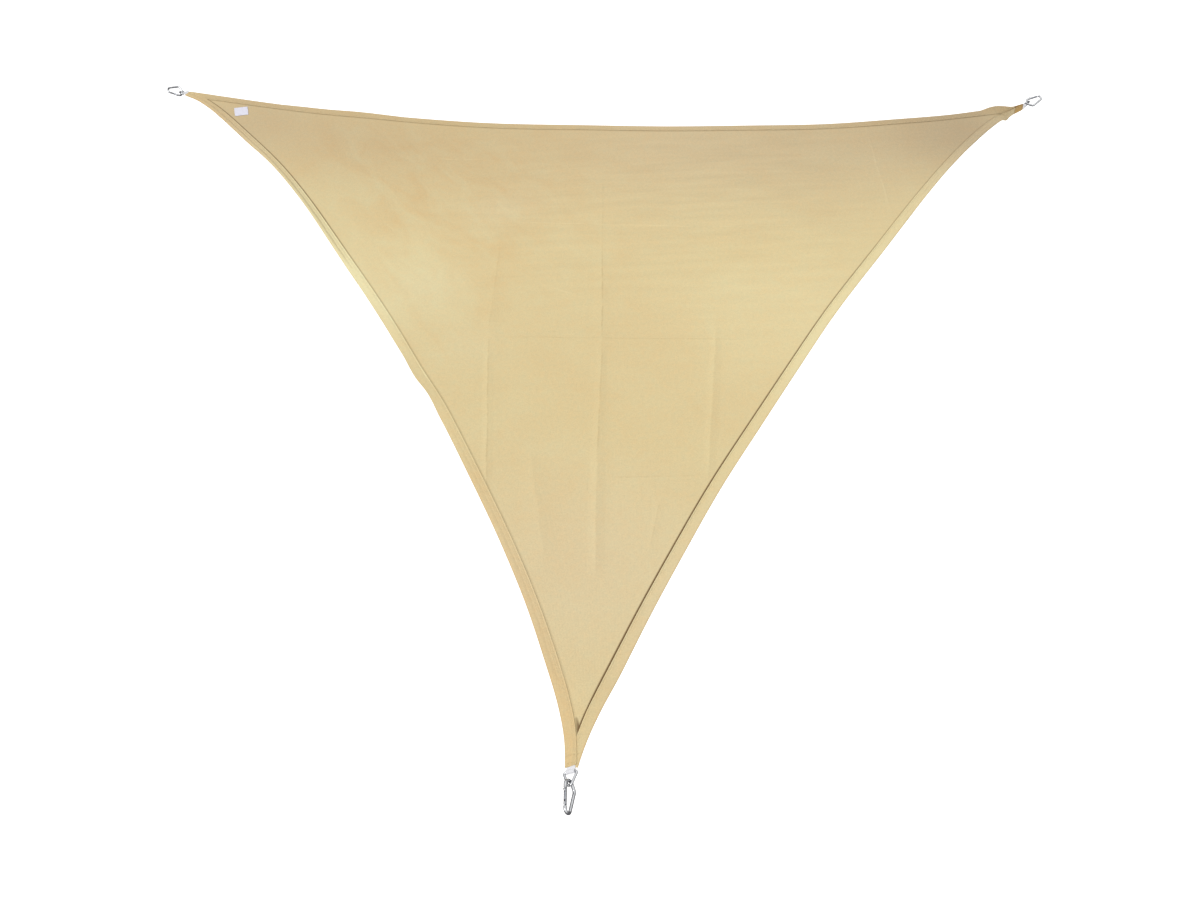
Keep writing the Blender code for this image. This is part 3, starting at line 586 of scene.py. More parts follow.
# Woven webbing or patch: ribs along it, crossed by the weft.
def strapMaterial(name, white, rib, weft):
    material, tree, shader = shaderNodes(name)
    uv = clothPlace(tree)
    parts = node(tree, "ShaderNodeSeparateXYZ", {0: uv})
    across = maths(tree, "PINGPONG", maths(tree, "DIVIDE", parts.outputs["X"], rib), 0.5)
    along = plus(tree, maths(tree, "DIVIDE", parts.outputs["Y"], weft), across)
    along = maths(tree, "PINGPONG", along, 0.5)
    relief = times(tree, maths(tree, "POWER", times(tree, across, 2.0), 0.5), plus(tree, along, 0.5))
    grain = noise(tree, uv, 700.0, 3.0)
    wrinkle = noise(tree, uv, 90.0, 3.0, 0.6, 1.5)
    # The colour darkens between the ribs and in the wrinkles as painted shade, and with the grain.
    depth = plus(tree, times(tree, maths(tree, "SUBTRACT", 1.0, relief), 0.30), times(tree, grain, 0.12),
                 centred(tree, wrinkle, 0.35))
    tree.links.new(blended(tree, depth, white, dimmed(white, 0.58)), shader.inputs["Base Color"])
    tree.links.new(ranged(tree, grain, 0, 1, 0.52, 0.72), shader.inputs["Roughness"])
    raised(tree, shader, plus(tree, times(tree, relief, 0.00016), times(tree, wrinkle, 0.0006)))
    setInputs(shader, {"Sheen Weight": 0.15})
    return material


def threadMaterial(name, colour):
    material, tree, shader = shaderNodes(name)
    place = node(tree, "ShaderNodeTexCoord").outputs["Object"]
    ply = noise(tree, place, 1500.0, 2.0, dimensions="3D")
    tree.links.new(blended(tree, ply, colour, dimmed(colour, 0.75)), shader.inputs["Base Color"])
    setInputs(shader, {"Roughness": 0.6})
    return material


materials = {
    "panel": knitMaterial("knitPanel", 0.0, False),
    "hem": knitMaterial("knitHem", -0.10, True),
    "steel": steelMaterial("polishedWire", (0.70, 0.71, 0.73, 1.0), (0.08, 0.24)),
    # The gate is rougher, and its darker colour is painted shade standing in for the dark reflections it
    # shows.
    "gate": steelMaterial("rougherGatePaintedDark", (0.42, 0.43, 0.46, 1.0), (0.16, 0.34)),
    "strap": strapMaterial("whiteStrap", (0.82, 0.82, 0.85, 1.0), 0.0016, 0.0009),
    "label": strapMaterial("whitePatch", (0.80, 0.79, 0.90, 1.0), 0.0007, 0.0007),
    "thread": threadMaterial("sandThread", (0.72, 0.60, 0.35, 1.0)),
    "tabThread": threadMaterial("ochreThread", (0.55, 0.42, 0.21, 1.0)),
    "whiteThread": threadMaterial("whiteThread", (0.75, 0.75, 0.80, 1.0)),
}

# Soft differences over the cloth: x, y, radius, lighter, more golden, rosier. They are coarse values, and
# many are near those of a fit to the photo's tones.
# The lighter, more golden and rosier columns are partly painted light and shade, such as the darker band
# along the far edge, and partly the cloth's own uneven tone.
toneSpots = (
    (-1.25, 2.45, 0.30, -0.15, 0.10, 0.40), (-0.85, 2.35, 0.30, -0.10, 0.20, 0.20),  # along the far edge
    (-0.35, 2.40, 0.40, -0.10, 0.20, 0.20), (0.25, 2.40, 0.40, -0.10, 0.00, 0.40),
    (0.80, 2.40, 0.40, -0.15, 0.00, 0.40), (1.30, 2.45, 0.30, -0.30, 0.00, 0.60),
    (-0.65, 1.60, 0.25, 0.05, -0.30, 0.00), (-0.40, 1.95, 0.30, 0.00, 0.20, 0.00),  # across the middle
    (0.60, 1.45, 0.35, 0.05, -0.20, -0.10), (0.20, 1.10, 0.30, 0.00, 0.10, -0.10),
    (0.00, 0.50, 0.35, 0.00, -0.20, 0.40),                                          # near corner
    (-0.50, 1.55, 0.12, 0.00, -0.30, 0.10), (-0.35, 1.30, 0.10, 0.00, -0.30, 0.10),  # about the left fold
    (-0.30, 1.75, 0.06, 0.00, 0.30, 0.00), (-0.30, 1.60, 0.06, 0.00, 0.30, 0.00),
    (-0.30, 1.45, 0.06, 0.00, 0.30, 0.00), (-0.35, 1.95, 0.10, 0.00, -0.20, 0.10),
    (-0.25, 2.00, 0.10, 0.00, -0.20, 0.10),
)
# Where the cloth is slack and crumpled, and where fine level streaks show: x, y, radius,
# how much.
slackSpots = (
    (-0.45, 2.02, 0.42, 0.9), (-0.62, 1.50, 0.30, 0.5), (-0.80, 2.28, 0.26, 0.5), (0.0, 0.9, 1.6, 0.10),
)
streakSpots = ((0.45, 2.05, 0.62, 0.9), (-0.20, 2.00, 0.40, 0.5), (0.0, 1.2, 1.2, 0.12))


def spotValues(plan, spots):
    total = np.zeros((len(plan), len(spots[0]) - 3))
    for x, y, radius, *values in spots:
        weight = np.exp(-(np.hypot(plan[:, 0] - x, plan[:, 1] - y) / radius) ** 2)
        total += weight[:, None] * np.array(values)
    return total.T


def paintCloth(piece, plan):
    for name, values in zip(("shade", "gold", "rosy"), spotValues(plan, toneSpots)):
        pointValues(piece, name, values)
    pointValues(piece, "slack", spotValues(plan, slackSpots)[0])
    pointValues(piece, "streaks", spotValues(plan, streakSpots)[0])


# The hems: the cloth's edge folded up and over, and sewn down.
hem = {
    "width": 0.030,
    "step": 0.006,            # spacing of the stations along an edge
    "fan": 0.045,             # the stations turn to the sewn end over this length
    "lip": {"left": 0.0006, "right": 0.0016, "far": 0.0003},  # how far the free edge stands up
    "over": {"left": ("right", "far"), "right": ("far",), "far": ()},  # hems that it lies on
    "seams": (0.0258, 0.0215),
    "gapAt": 0.0012,          # how far past the free edge its shadow is darkest
    "evenOver": 0.16,         # the free edge is evened out over this length
    "narrowest": 0.006,
    "strand": 0.0036,         # tallest roll of the fold
    "seamEnds": 0.004,        # the stitches stop this far from the ends
    "seamLift": (0.00025, -0.00015),  # of the stitches above the hem and under the panel
    "stitchStep": 0.0062,
    "stitchSize": (0.0020, 0.00036, 0.00030),
}
# How dark the painted shade in the gap under each hem's free edge is: (along the edge, darkness).
paintedShadeUnderHem = {
    "left": ((0.0, 0.75), (0.9, 0.70), (1.3, 0.32), (2.2, 0.20), (2.9, 0.12), (3.0, 0.12)),
    "right": ((0.0, 0.25), (0.9, 0.35), (1.2, 0.60), (1.6, 0.80), (2.0, 0.95), (3.0, 1.00)),
    "far": ((0.0, 0.20), (1.5, 0.15), (3.0, 0.25)),
}


# The panel: one layer, in rows from the near corner to the far edge.
def insetEdge(name):
    line = fineEdges[name]
    return line + inwardNormals(line) * sail["edgeInset"]


def buildPanel():
    left = insetEdge("left")[::-1]
    right = insetEdge("right")[::-1]
    far = insetEdge("far")
    near = np.array([left[0], *endPlaces("near")[1:-1], right[0]])
    if np.linalg.norm(near[1] - near[0]) > np.linalg.norm(near[2] - near[0]):
        near = near[[0, 2, 1, 3]]
    far = np.concatenate([left[-1:], far, right[-1:]])
    nearLength, farLength = alongLine(near), alongLine(far)

    def at(line, lengths, share):
        return np.stack([np.interp(share * lengths[-1], lengths, line[:, k]) for k in (0, 1)], axis=1)

    rows = []
    rowCount = int(farY / (sail["pitch"] * sail["rowShare"]))
    for share in np.linspace(0, 1, rowCount):
        start = at(left, alongLine(left), np.array([share]))[0]
        end = at(right, alongLine(right), np.array([share]))[0]
        count = max(7, int(np.linalg.norm(end - start) / sail["pitch"]))
        s = np.linspace(0, 1, count)[:, None]
        sides = (1 - s) * start + s * end
        ends = (1 - share) * at(near, nearLength, s[:, 0]) + share * at(far, farLength, s[:, 0])
        square = (1 - share) * ((1 - s) * near[0] + s * near[-1])
        square += share * ((1 - s) * far[0] + s * far[-1])
        rows.append(sides + ends - square)
    starts = np.concatenate([[0], np.cumsum([len(row) for row in rows])])
    faces = []
    for lower, upper, a, b in zip(rows, rows[1:], starts, starts[1:]):
        i = j = 0
        while i < len(lower) - 1 or j < len(upper) - 1:
            onward = (i + 1) / (len(lower) - 1), (j + 1) / (len(upper) - 1)
            if j == len(upper) - 1 or (i < len(lower) - 1 and onward[0] <= onward[1]):
                faces.append((a + i, a + i + 1, b + j))
                i += 1
            else:
                faces.append((a + i, b + j + 1, b + j))
                j += 1
    plan = np.concatenate(rows)
    panel = meshPiece("sailPanel", hang(plan), [tuple(int(v) for v in face) for face in faces],
                      {"cloth": plan})
    paintCloth(panel, plan)
    # Each panel point's distance past the nearest hem's free edge, and how dark the painted shade in that
    # gap is.
    gaps, darkness = [], []
    for name, shading in paintedShadeUnderHem.items():
        places, inward, widths, _ = hemStations(name)
        gap, along = distanceToLine(plan, resampled(places + inward * widths[:, None], 150))
        outer, outerAlong = distanceToLine(plan, coarseEdges[name])
        width = np.interp(outerAlong, alongLine(places), widths)
        gaps.append(np.where(outer < width, -gap, gap) - hem["gapAt"])
        darkness.append(np.interp(outerAlong, *np.array(shading).T))
    nearest = np.argmin(gaps, axis=0)
    pick = np.arange(len(plan))
    pointValues(panel, "hemGap", np.array(gaps)[nearest, pick])
    pointValues(panel, "paintedGapShade", np.array(darkness)[nearest, pick])
    panel.data.materials.append(materials["panel"])
    shell = panel.modifiers.new("layer", "SOLIDIFY")
    shell.thickness = sail["layer"]
    shell.offset = 1.0
    return settle(panel)


# The hem's section: inwards from the fold and height above the panel's underside in
# millimetres, share of the free edge's lift, and share of a rolled stretch's height.
hemSection = (
    (1.6, 0.02, 0, 0), (0.7, 0.10, 0, 0), (0.15, 0.55, 0, 0), (0.0, 1.15, 0, 0.02), (0.15, 1.80, 0, 0.08),
    (0.7, 2.22, 0, 0.18), (1.6, 2.42, 0, 0.35), (4.0, 2.50, 0, 0.75), (6.5, 2.44, 0, 0.96),
    (9.0, 2.38, 0, 1.0), (11.5, 2.37, 0, 0.75), (13.5, 2.36, 0, 0.30), (15.0, 2.36, 0, 0.0),
    (17.5, 2.38, 0, 0.20), (20.0, 2.40, 0, 0.28), (21.5, 2.22, 0, 0.12), (23.5, 2.42, 0, 0.15),
    (25.0, 2.30, 0, 0.05), (25.8, 2.12, 0, 0), (26.8, 2.30, 0.1, 0), (28.2, 2.42, 0.55, 0),
    (29.4, 2.34, 1.0, 0), (30.0, 1.95, 1.05, 0), (29.7, 1.50, 0.95, 0), (28.3, 1.30, 0.5, 0),
    (26.0, 1.22, 0, 0), (15.0, 1.22, 0, 0), (4.0, 1.22, 0, 0), (1.9, 1.22, 0, 0),
)
# Stretches where the fold is rolled into a strand: edge, start, end, height.
strands = (("left", -0.10, 1.30, hem["strand"]), ("right", 0.10, 0.95, 0.0014), ("left", 1.9, 2.95, 0.0010))
# Along each hem: (distance, lighter, more golden).
hemTones = {
    "left": ((0.0, 0.00, 0.40), (0.30, 0.05, 0.10), (0.80, 0.10, -0.40), (1.30, 0.10, -0.45),
             (1.80, 0.04, 0.05), (2.20, 0.02, 0.45), (3.0, 0.00, 0.60)),
    "right": ((0.0, 0.02, 0.10), (0.5, 0.06, -0.20), (1.6, 0.06, -0.20), (2.4, 0.02, 0.10),
              (3.0, 0.0, 0.35)),
    "far": ((0.0, -0.04, 0.30), (1.5, -0.03, 0.25), (3.0, -0.05, 0.30)),
}


# Slow unevenness along a hem, the same each time.
def unevenness(along, seed, lengths=(0.31, 0.17, 0.083)):
    pick = np.random.default_rng(seed)
    total = np.zeros(len(along))
    for length in lengths:
        total += np.sin(along / length * math.tau + pick.uniform(0, math.tau)) * pick.uniform(0.5, 1.0)
    return total / len(lengths)


# Stations along an edge: their places, the way into the cloth and the hem's width there.
def hemStations(name):
    start, end, _ = edgeTables[name]
    count = int(alongLine(fineEdges[name])[-1] / hem["step"])
    places = resampled(fineEdges[name], count)
    inward = inwardNormals(places)
    along = alongLine(places)
    for corner, gap in ((start, along), (end, along[-1] - along)):
        ends = endPlaces(corner)
        here = places[0] if corner == start else places[-1]
        there = ends[np.argmax(np.linalg.norm(ends - here, axis=1))]
        cross = (there - here) / np.linalg.norm(there - here)
        share = smoothstep(gap / hem["fan"])[:, None]
        inward = inward * share + cross * (1 - share)
    inward /= np.linalg.norm(inward, axis=1)[:, None]
    wide = int(hem["evenOver"] / hem["step"])
    padded = np.pad(places, ((wide, wide), (0, 0)), mode="reflect", reflect_type="odd")
    smooth = np.stack([np.convolve(padded[:, k], np.hanning(2 * wide + 1) / wide, "valid") for k in (0, 1)],
                      axis=1)
    widths = hem["width"] + ((smooth - places) * inward).sum(1)
    for i in np.nonzero(np.minimum(along, along[-1] - along) < 0.25)[0]:
        probe = places[i] + np.outer(np.linspace(0.002, hem["width"], 29), inward[i])
        others = [edgeGap(probe, other) for other in edgeTables if other != name]
        outside = ~insideSail(probe) | (np.min(others, axis=0) < 0.0015)
        if outside.any():
            widths[i] = max(hem["narrowest"], np.linalg.norm(probe[np.argmax(outside)] - places[i]) - 0.001)
    return places, inward, widths, along


outlineLoop = np.concatenate([fineEdges["left"], fineEdges["right"][::-1], fineEdges["far"][::-1]])


def insideSail(points):
    x, y = points[:, 0][:, None], points[:, 1][:, None]
    x0, y0 = outlineLoop[:, 0], outlineLoop[:, 1]
    x1, y1 = np.roll(x0, -1), np.roll(y0, -1)
    crosses = ((y0 > y) != (y1 > y)) & (x < (x1 - x0) * (y - y0) / (y1 - y0 + 1e-12) + x0)
    return crosses.sum(1) % 2 == 1


# How much a hem is raised where it lies on other hems.
def stackLift(plan, name):
    lift = np.zeros(len(plan))
    for other in hem["over"][name]:
        lift += sail["layer"] * smoothstep((hem["width"] + 0.009 - edgeGap(plan, other)) / 0.018)
    return lift


def buildHem(name, seed):
    places, inward, widths, along = hemStations(name)
    lip = hem["lip"][name] * (1 + 0.5 * unevenness(along, seed))
    for other in edgeTables:
        if name in hem["over"][other]:
            covered = edgeGap(places + inward * widths[:, None], other)
            lip *= smoothstep((covered - hem["width"] - 0.004) / 0.020)
    plans, lifts, stripUvs = [], [], []
    strand = np.zeros(len(along))
    for edge, start, end, height in strands:
        if edge == name:
            middle, half = (start + end) / 2, (end - start) / 2
            strand += height * smoothstep((1 - np.abs(along - middle) / half) * 3)
    strand *= 1 + 0.25 * unevenness(along, seed + 3, (0.41, 0.19, 0.11))
    for u, height, lipShare, strandShare in hemSection:
        reach = np.where(u < 2, u / 1000, u / 1000 * widths / hem["width"])
        plans.append(places + inward * reach[:, None])
        wave = 0.00012 * unevenness(along, seed + 7, (0.052, 0.029, 0.019)) * (u > 2)
        lifts.append(height / 1000 + lipShare * lip + strandShare * strand + wave)
        stripUvs.append(np.stack([along, reach], axis=1))
    sides = len(hemSection)
    plan = np.stack(plans, axis=1).reshape(-1, 2)
    lift = np.stack(lifts, axis=1).ravel()
    lift = lift + stackLift(plan, name)
    strip = np.stack(stripUvs, axis=1).reshape(-1, 2)
    piece = meshPiece("hem" + name.capitalize(), hang(plan, lift), tubeFaces(len(places), sides),
                      {"cloth": plan, "strip": strip})
    paintCloth(piece, plan)
    tones = np.array(hemTones[name])
    strength = spotValues(plan, toneSpots)
    for attributeName, values, column in (("shade", strength[0], 1), ("gold", strength[1], 2)):
        extra = np.repeat(np.interp(along, tones[:, 0], tones[:, column]), sides)
        pointValues(piece, attributeName, values + extra)
    pointValues(piece, "paintedValleyShade", np.repeat(strand / hem["strand"], sides))
    piece.data.materials.append(materials["hem"])
    return faceOut(piece)


# Stitches: one stretched bead for each, along rows of points.
def stitchTree():
    tree = bpy.data.node_groups.new("stitchRow", "GeometryNodeTree")
    sockets = {}
    for name, kind in (("Rows", "NodeSocketGeometry"), ("Spacing", "NodeSocketFloat"),
                       ("Size", "NodeSocketVector"), ("Thread", "NodeSocketMaterial"),
                       ("Seed", "NodeSocketInt")):
        sockets[name] = tree.interface.new_socket(name, in_out="INPUT", socket_type=kind).identifier
    tree.interface.new_socket("Stitches", in_out="OUTPUT", socket_type="NodeSocketGeometry")
    given = tree.nodes.new("NodeGroupInput").outputs
    curve = node(tree, "GeometryNodeMeshToCurve", {"Mesh": given["Rows"]}).outputs["Curve"]
    curve = node(tree, "GeometryNodeResampleCurve", {"Curve": curve, "Length": given["Spacing"]},
                 mode="LENGTH").outputs["Curve"]
    tangent = node(tree, "GeometryNodeInputTangent").outputs["Tangent"]
    turn = node(tree, "FunctionNodeAlignRotationToVector", {"Vector": tangent},
                axis="X").outputs["Rotation"]
    bead = node(tree, "GeometryNodeMeshUVSphere", {"Segments": 6, "Rings": 4,
                                                   "Radius": 1.0}).outputs["Mesh"]
    uneven = node(tree, "FunctionNodeRandomValue", {"Seed": given["Seed"]}, data_type="FLOAT_VECTOR")
    uneven.inputs[0].default_value = (0.80, 0.85, 0.85)
    uneven.inputs[1].default_value = (1.08, 1.15, 1.15)
    size = node(tree, "ShaderNodeVectorMath", {0: uneven.outputs[0], 1: given["Size"]},
                operation="MULTIPLY").outputs["Vector"]
    beads = node(tree, "GeometryNodeInstanceOnPoints", {"Points": curve, "Instance": bead, "Rotation": turn,
                                                        "Scale": size}).outputs["Instances"]
    beads = node(tree, "GeometryNodeRealizeInstances", {"Geometry": beads}).outputs["Geometry"]
    beads = node(tree, "GeometryNodeSetMaterial", {"Geometry": beads,
                                                   "Material": given["Thread"]}).outputs["Geometry"]
    out = tree.nodes.new("NodeGroupOutput").inputs
    tree.links.new(beads, out["Stitches"])
    return tree, sockets


stitchRow, stitchSockets = stitchTree()


# Stitches along rows, each row a list of points.
def buildStitches(name, rows, spacing, size, thread, seed):
    points = np.concatenate(rows)
    starts = np.cumsum([0] + [len(row) for row in rows])
    edges = [(int(a + i), int(a + i + 1)) for a, row in zip(starts, rows) for i in range(len(row) - 1)]
    piece = meshPiece(name, points, [], edges=edges)
    rowNodes = piece.modifiers.new("stitches", "NODES")
    rowNodes.node_group = stitchRow
    for key, value in (("Spacing", spacing), ("Size", size), ("Thread", thread), ("Seed", seed)):
        rowNodes[stitchSockets[key]] = value
    settle(piece)
    piece.data.shade_smooth()
    return piece


# The stitch rows of a hem: on top of it and under the panel.
def hemRows(name):
    places, inward, widths, along = hemStations(name)
    rows = []
    for seam in hem["seams"]:
        plan = places + inward * (seam * widths / hem["width"])[:, None]
        top = np.interp(seam * 1000, *np.array(hemSection[:22])[:, :2].T) / 1000
        over, under = hem["seamLift"]
        rows.append(hang(plan, top + over + stackLift(plan, name)))
        rows.append(hang(plan, under + stackLift(plan, name)))
    keep = (along > hem["seamEnds"]) & (along < along[-1] - hem["seamEnds"])
    return [row[keep] for row in rows]


# Cross rows that sew each corner's end over its strap.
crossSeams = {
    "backs": (0.0045, 0.0075, 0.0250),  # of the rows, from the sewn end
    "margin": 0.0065,                   # kept free inside the sail's edges
    "height": 0.0038,
    "stitchStep": 0.0034,
    "stitchSize": (0.0013, 0.00036, 0.00030),
}


def cornerRowsOf(name):
    matrix = cornerFrame(name)
    low, high = np.array(sewnEnds[name])[:, 0].min(), np.array(sewnEnds[name])[:, 0].max()
    rows = []
    for back in crossSeams["backs"]:
        across = np.linspace(low, high, 41)
        plan = np.array([(matrix @ Vector((x, -back, 0))).xy for x in across])
        gaps = np.min([edgeGap(plan, edge) for edge in edgeTables], axis=0)
        plan = plan[insideSail(plan) & (gaps > crossSeams["margin"])]
        if len(plan) > 3:
            rows.append(hang(plan, crossSeams["height"]))
    return rows


# Webbing: a strap's loop through each corner, round the ring's bar.
webbing = {
    "width": 0.0206, "thickness": 0.0013, "barAt": 0.0112, "wire": 0.0055, "clearance": 0.0005,
    "intoCloth": 0.0012, "aroundSteps": 22, "acrossSteps": 12,
}


# The corner's frame, turned with its ring, on the middle of the sewn end's thickness.
def cornerMatrix(name):
    corner = corners[name]
    twist = Matrix.Rotation(math.radians(corner["twist"]), 4, "Y")
    turn = Matrix.Rotation(math.radians(corner["ringTurn"]), 4, "Y")
    at = Matrix.Translation(sail["nearCorner"])
    return at @ cornerFrame(name) @ twist @ Matrix.Translation((0, 0, 0.0015)) @ turn


def buildWebbing(name):
    radius = webbing["wire"] / 2 + webbing["clearance"] + webbing["thickness"] / 2
    leg = webbing["thickness"] / 2 + 0.0001
    start = -webbing["barAt"] - webbing["intoCloth"]
    turnStart = math.degrees(math.asin(leg / radius))
    angles = np.radians(np.linspace(180 - turnStart, -180 + turnStart, webbing["aroundSteps"]))
    straight = np.linspace(start, -radius * 1.05, 8)
    path = [(y, leg) for y in straight]
    path += [(radius * math.cos(a), radius * math.sin(a)) for a in angles]
    path += [(y, -leg) for y in straight[::-1]]
    path = resampled(np.array(path), 46)
    across = np.linspace(-0.5, 0.5, webbing["acrossSteps"] + 1)
    points, uvs = [], []
    lengths = alongLine(path)
    ringTurn = math.radians(corners[name]["ringTurn"])
    for (y, z), length in zip(path, lengths):
        turn = Matrix.Rotation(ringTurn * (smoothstep(y / webbing["barAt"] + 1) - 1), 4, "Y")
        for share in across:
            points.append(turn @ Vector((share * webbing["width"], y, z)))
            uvs.append((share * webbing["width"], length))
    sides = len(across)
    faces = [(r * sides + c, r * sides + c + 1, (r + 1) * sides + c + 1, (r + 1) * sides + c)
             for r in range(len(path) - 1) for c in range(sides - 1)]
    matrix = cornerMatrix(name) @ Matrix.Translation((0, webbing["barAt"], 0))
    piece = meshPiece("strap" + name.capitalize(), [matrix @ point for point in points], faces,
                      {"cloth": uvs})
    piece.data.materials.append(materials["strap"])
    shell = piece.modifiers.new("strap", "SOLIDIFY")
    shell.thickness = webbing["thickness"]
    shell.offset = 0.0
    return faceOut(settle(piece))


# Steel wire: triangular rings, and snap hooks with hinged gates. A hook is drawn in its
# own plane: gate side at x = 0, wide end at y = 0.
ring = {"wire": 0.0055, "width": 0.032, "height": 0.029, "barRadius": 0.0035, "tipRadius": 0.006,
        "sides": 18, "steps": 149}
hook = {
    "wire": 0.007, "sides": 20, "step": 0.0007,
    "circles": ((0.012, 0.012, 0.012), (0.018, 0.019, 0.011), (0.008, 0.061, 0.008)),  # x, y, radius
    "seat": 0.0140,           # the ring's place across the wide end
    "clearance": 0.0010,
    "nose": 0.019, "heel": 0.0575, "pivot": 0.0505,
    "tongue": (0.0030, 0.008, 0.004),    # thickness, length at the nose, length past the pivot
    "gate": (0.0064, 0.0196, 0.0545),    # diameter, start, end
    "slots": (0.0038, 0.0280, 0.0445),   # width, where each ends
    "edge": 0.00022,                     # broken off the gate's edges
    "pin": (0.0026, 0.0080), "nub": (0.0020, 0.0050),
    # heading, slope and roll of each hook
    "pulls": {"near": (-88, 0, 126), "left": (151, -2, -60), "right": (30, -1, 27)},
}
sharpAngle = 42  # edges of the steel that bend more than this stay sharp


def arc(centre, radius, start, end):
    angles = np.radians(np.linspace(start, end, 3 + int(abs(end - start) / 3)))
    return [(centre[0] + radius * math.cos(a), centre[1] + radius * math.sin(a)) for a in angles]


# Rings of points round a flat path; widths and depths scale each ring in the plane and
# square to it, and a ring is no deeper than its limit.
def wireRings(path, radius, sides, closed, widths=1.0, limits=1.0):
    tangent = np.gradient(path, axis=0)
    if closed:
        tangent = np.roll(path, -1, axis=0) - np.roll(path, 1, axis=0)
    tangent /= np.linalg.norm(tangent, axis=1)[:, None]
    normal = np.stack([-tangent[:, 1], tangent[:, 0]], axis=1)
    widths, limits = np.broadcast_to(widths, len(path)), np.broadcast_to(limits, len(path))
    rings = []
    for angle in np.linspace(0, math.tau, sides, endpoint=False):
        flat = path + normal * (radius * math.cos(angle) * widths)[:, None]
        depth = np.clip(radius * math.sin(angle), -limits, limits)
        rings.append(np.column_stack([flat, depth]))
    return np.stack(rings, axis=1).reshape(-1, 3)


def placed(matrix, points):
    matrix = np.array(matrix)
    return points @ matrix[:3, :3].T + matrix[:3, 3]


def steelPiece(name, matrix, points, faces, kind="steel"):
    piece = meshPiece(name, placed(matrix, points), faces)
    piece.data.materials.append(materials[kind])
    faceOut(piece)
    piece.data.set_sharp_from_angle(angle=math.radians(sharpAngle))
    return piece


# A rod along an axis through a point, with domed ends.
def rod(centre, axis, diameter, length, dome, sides=18):
    radius = diameter / 2
    turn = np.array(Vector((0, 0, 1)).rotation_difference(Vector(axis)).to_matrix())
    curve = np.radians(np.linspace(0, 88, 6))
    rims = [(-length / 2 + dome * (1 - math.sin(a)), radius * max(0.02, math.cos(a))) for a in curve[::-1]]
    rims += [(-z, r) for z, r in rims[::-1]]
    angles = np.linspace(0, math.tau, sides, endpoint=False)
    points = [(r * math.cos(a), r * math.sin(a), z) for z, r in rims for a in angles]
    return np.array(points) @ turn.T + np.array(centre), tubeFaces(len(rims), sides)


def ringHalfAngle():
    half = math.radians(20)
    for _ in range(40):
        apex = ring["tipRadius"] / math.sin(half) - ring["tipRadius"]
        half = math.atan(ring["width"] / 2 / (ring["height"] + apex))
    return half, apex


def buildRing(name):
    half, _ = ringHalfAngle()
    lean = math.degrees(half)
    reach = ring["barRadius"] / math.tan((math.pi / 2 - half) / 2)
    barX = ring["width"] / 2 - reach
    tipY = ring["height"] - ring["tipRadius"]
    path = arc((barX, ring["barRadius"]), ring["barRadius"], -90, lean)
    path += arc((0, tipY), ring["tipRadius"], lean, 180 - lean)
    path += arc((-barX, ring["barRadius"]), ring["barRadius"], 180 - lean, 270)
    sides, steps = ring["sides"], ring["steps"]
    path = resampled(np.array(path + path[:1]), steps + 1)[:-1]
    points = wireRings(path, ring["wire"] / 2, sides, True)
    faces = [(i * sides + k, i * sides + (k + 1) % sides, (i + 1) % steps * sides + (k + 1) % sides,
              (i + 1) % steps * sides + k) for i in range(steps) for k in range(sides)]
    matrix = cornerMatrix(name) @ Matrix.Translation((0, webbing["barAt"], 0))
    return steelPiece("wireRing" + name.capitalize(), matrix, points, faces)


def hookMatrix(name):
    half, apex = ringHalfAngle()
    room = (ring["wire"] / 2 + hook["wire"] / 2 + hook["clearance"]) / math.sin(half)
    seat = cornerMatrix(name) @ Vector((0, webbing["barAt"] + ring["height"] + apex - room, 0))
    heading, rise, roll = hook["pulls"][name]
    roll = Matrix.Rotation(math.radians(roll), 4, "Y")
    return pullFrame(heading, rise, seat) @ roll @ Matrix.Translation((-hook["seat"], 0, 0))


def tangentAngle(first, second):
    dx, dy = second[0] - first[0], second[1] - first[1]
    return math.degrees(math.atan2(dy, dx) - math.acos((first[2] - second[2]) / math.hypot(dx, dy)))


def hookPath():
    top, shoulder, tip = hook["circles"]
    turns = [-180, tangentAngle(top, shoulder), tangentAngle(shoulder, tip), 180]
    path = [(0.0, hook["nose"] + hook["tongue"][1])]
    for bend, start, end in zip((top, shoulder, tip), turns, turns[1:]):
        path += arc(bend[:2], bend[2], start, end)
    path.append((0.0, hook["pivot"] - hook["tongue"][2]))
    path = np.array(path)
    return resampled(path, int(alongLine(path)[-1] / hook["step"]))


# The bent wire: its ends are flattened to rounded tongues, and a nub stops the gate.
def buildHook(name):
    path = hookPath()
    radius = hook["wire"] / 2
    along = alongLine(path)
    toEnd = np.minimum(along, along[-1] - along)
    widths = np.sqrt(np.clip(1 - (1 - np.clip(toEnd / radius, 0.02, 1)) ** 2, 0, 1))
    onGateSide = np.abs(path[:, 0]) < 0.0005
    inside = np.minimum(path[:, 1] - hook["nose"], hook["heel"] - path[:, 1])
    share = np.where(onGateSide, smoothstep(inside / 0.0009), 0)
    limits = radius + (hook["tongue"][0] / 2 - radius) * share
    points = wireRings(path, radius, hook["sides"], False, widths, limits)
    faces = tubeFaces(len(path), hook["sides"])
    nubX = -(hook["wire"] + hook["nub"][0]) / 2 + 0.0003
    nub, nubFaces = rod((nubX, hook["nose"] + 0.004, 0), (0, 0, 1), *hook["nub"], 0.0004, 12)
    faces += [tuple(v + len(points) for v in face) for face in nubFaces]
    points = np.concatenate([points, nub])
    return steelPiece("hookWire" + name.capitalize(), hookMatrix(name), points, faces)


def boxPoints(low, high):
    corner = [(x, y, z) for x in (low[0], high[0]) for y in (low[1], high[1]) for z in (low[2], high[2])]
    return corner, [(0, 1, 3, 2), (4, 6, 7, 5), (0, 4, 5, 1), (2, 3, 7, 6), (0, 2, 6, 4), (1, 5, 7, 3)]


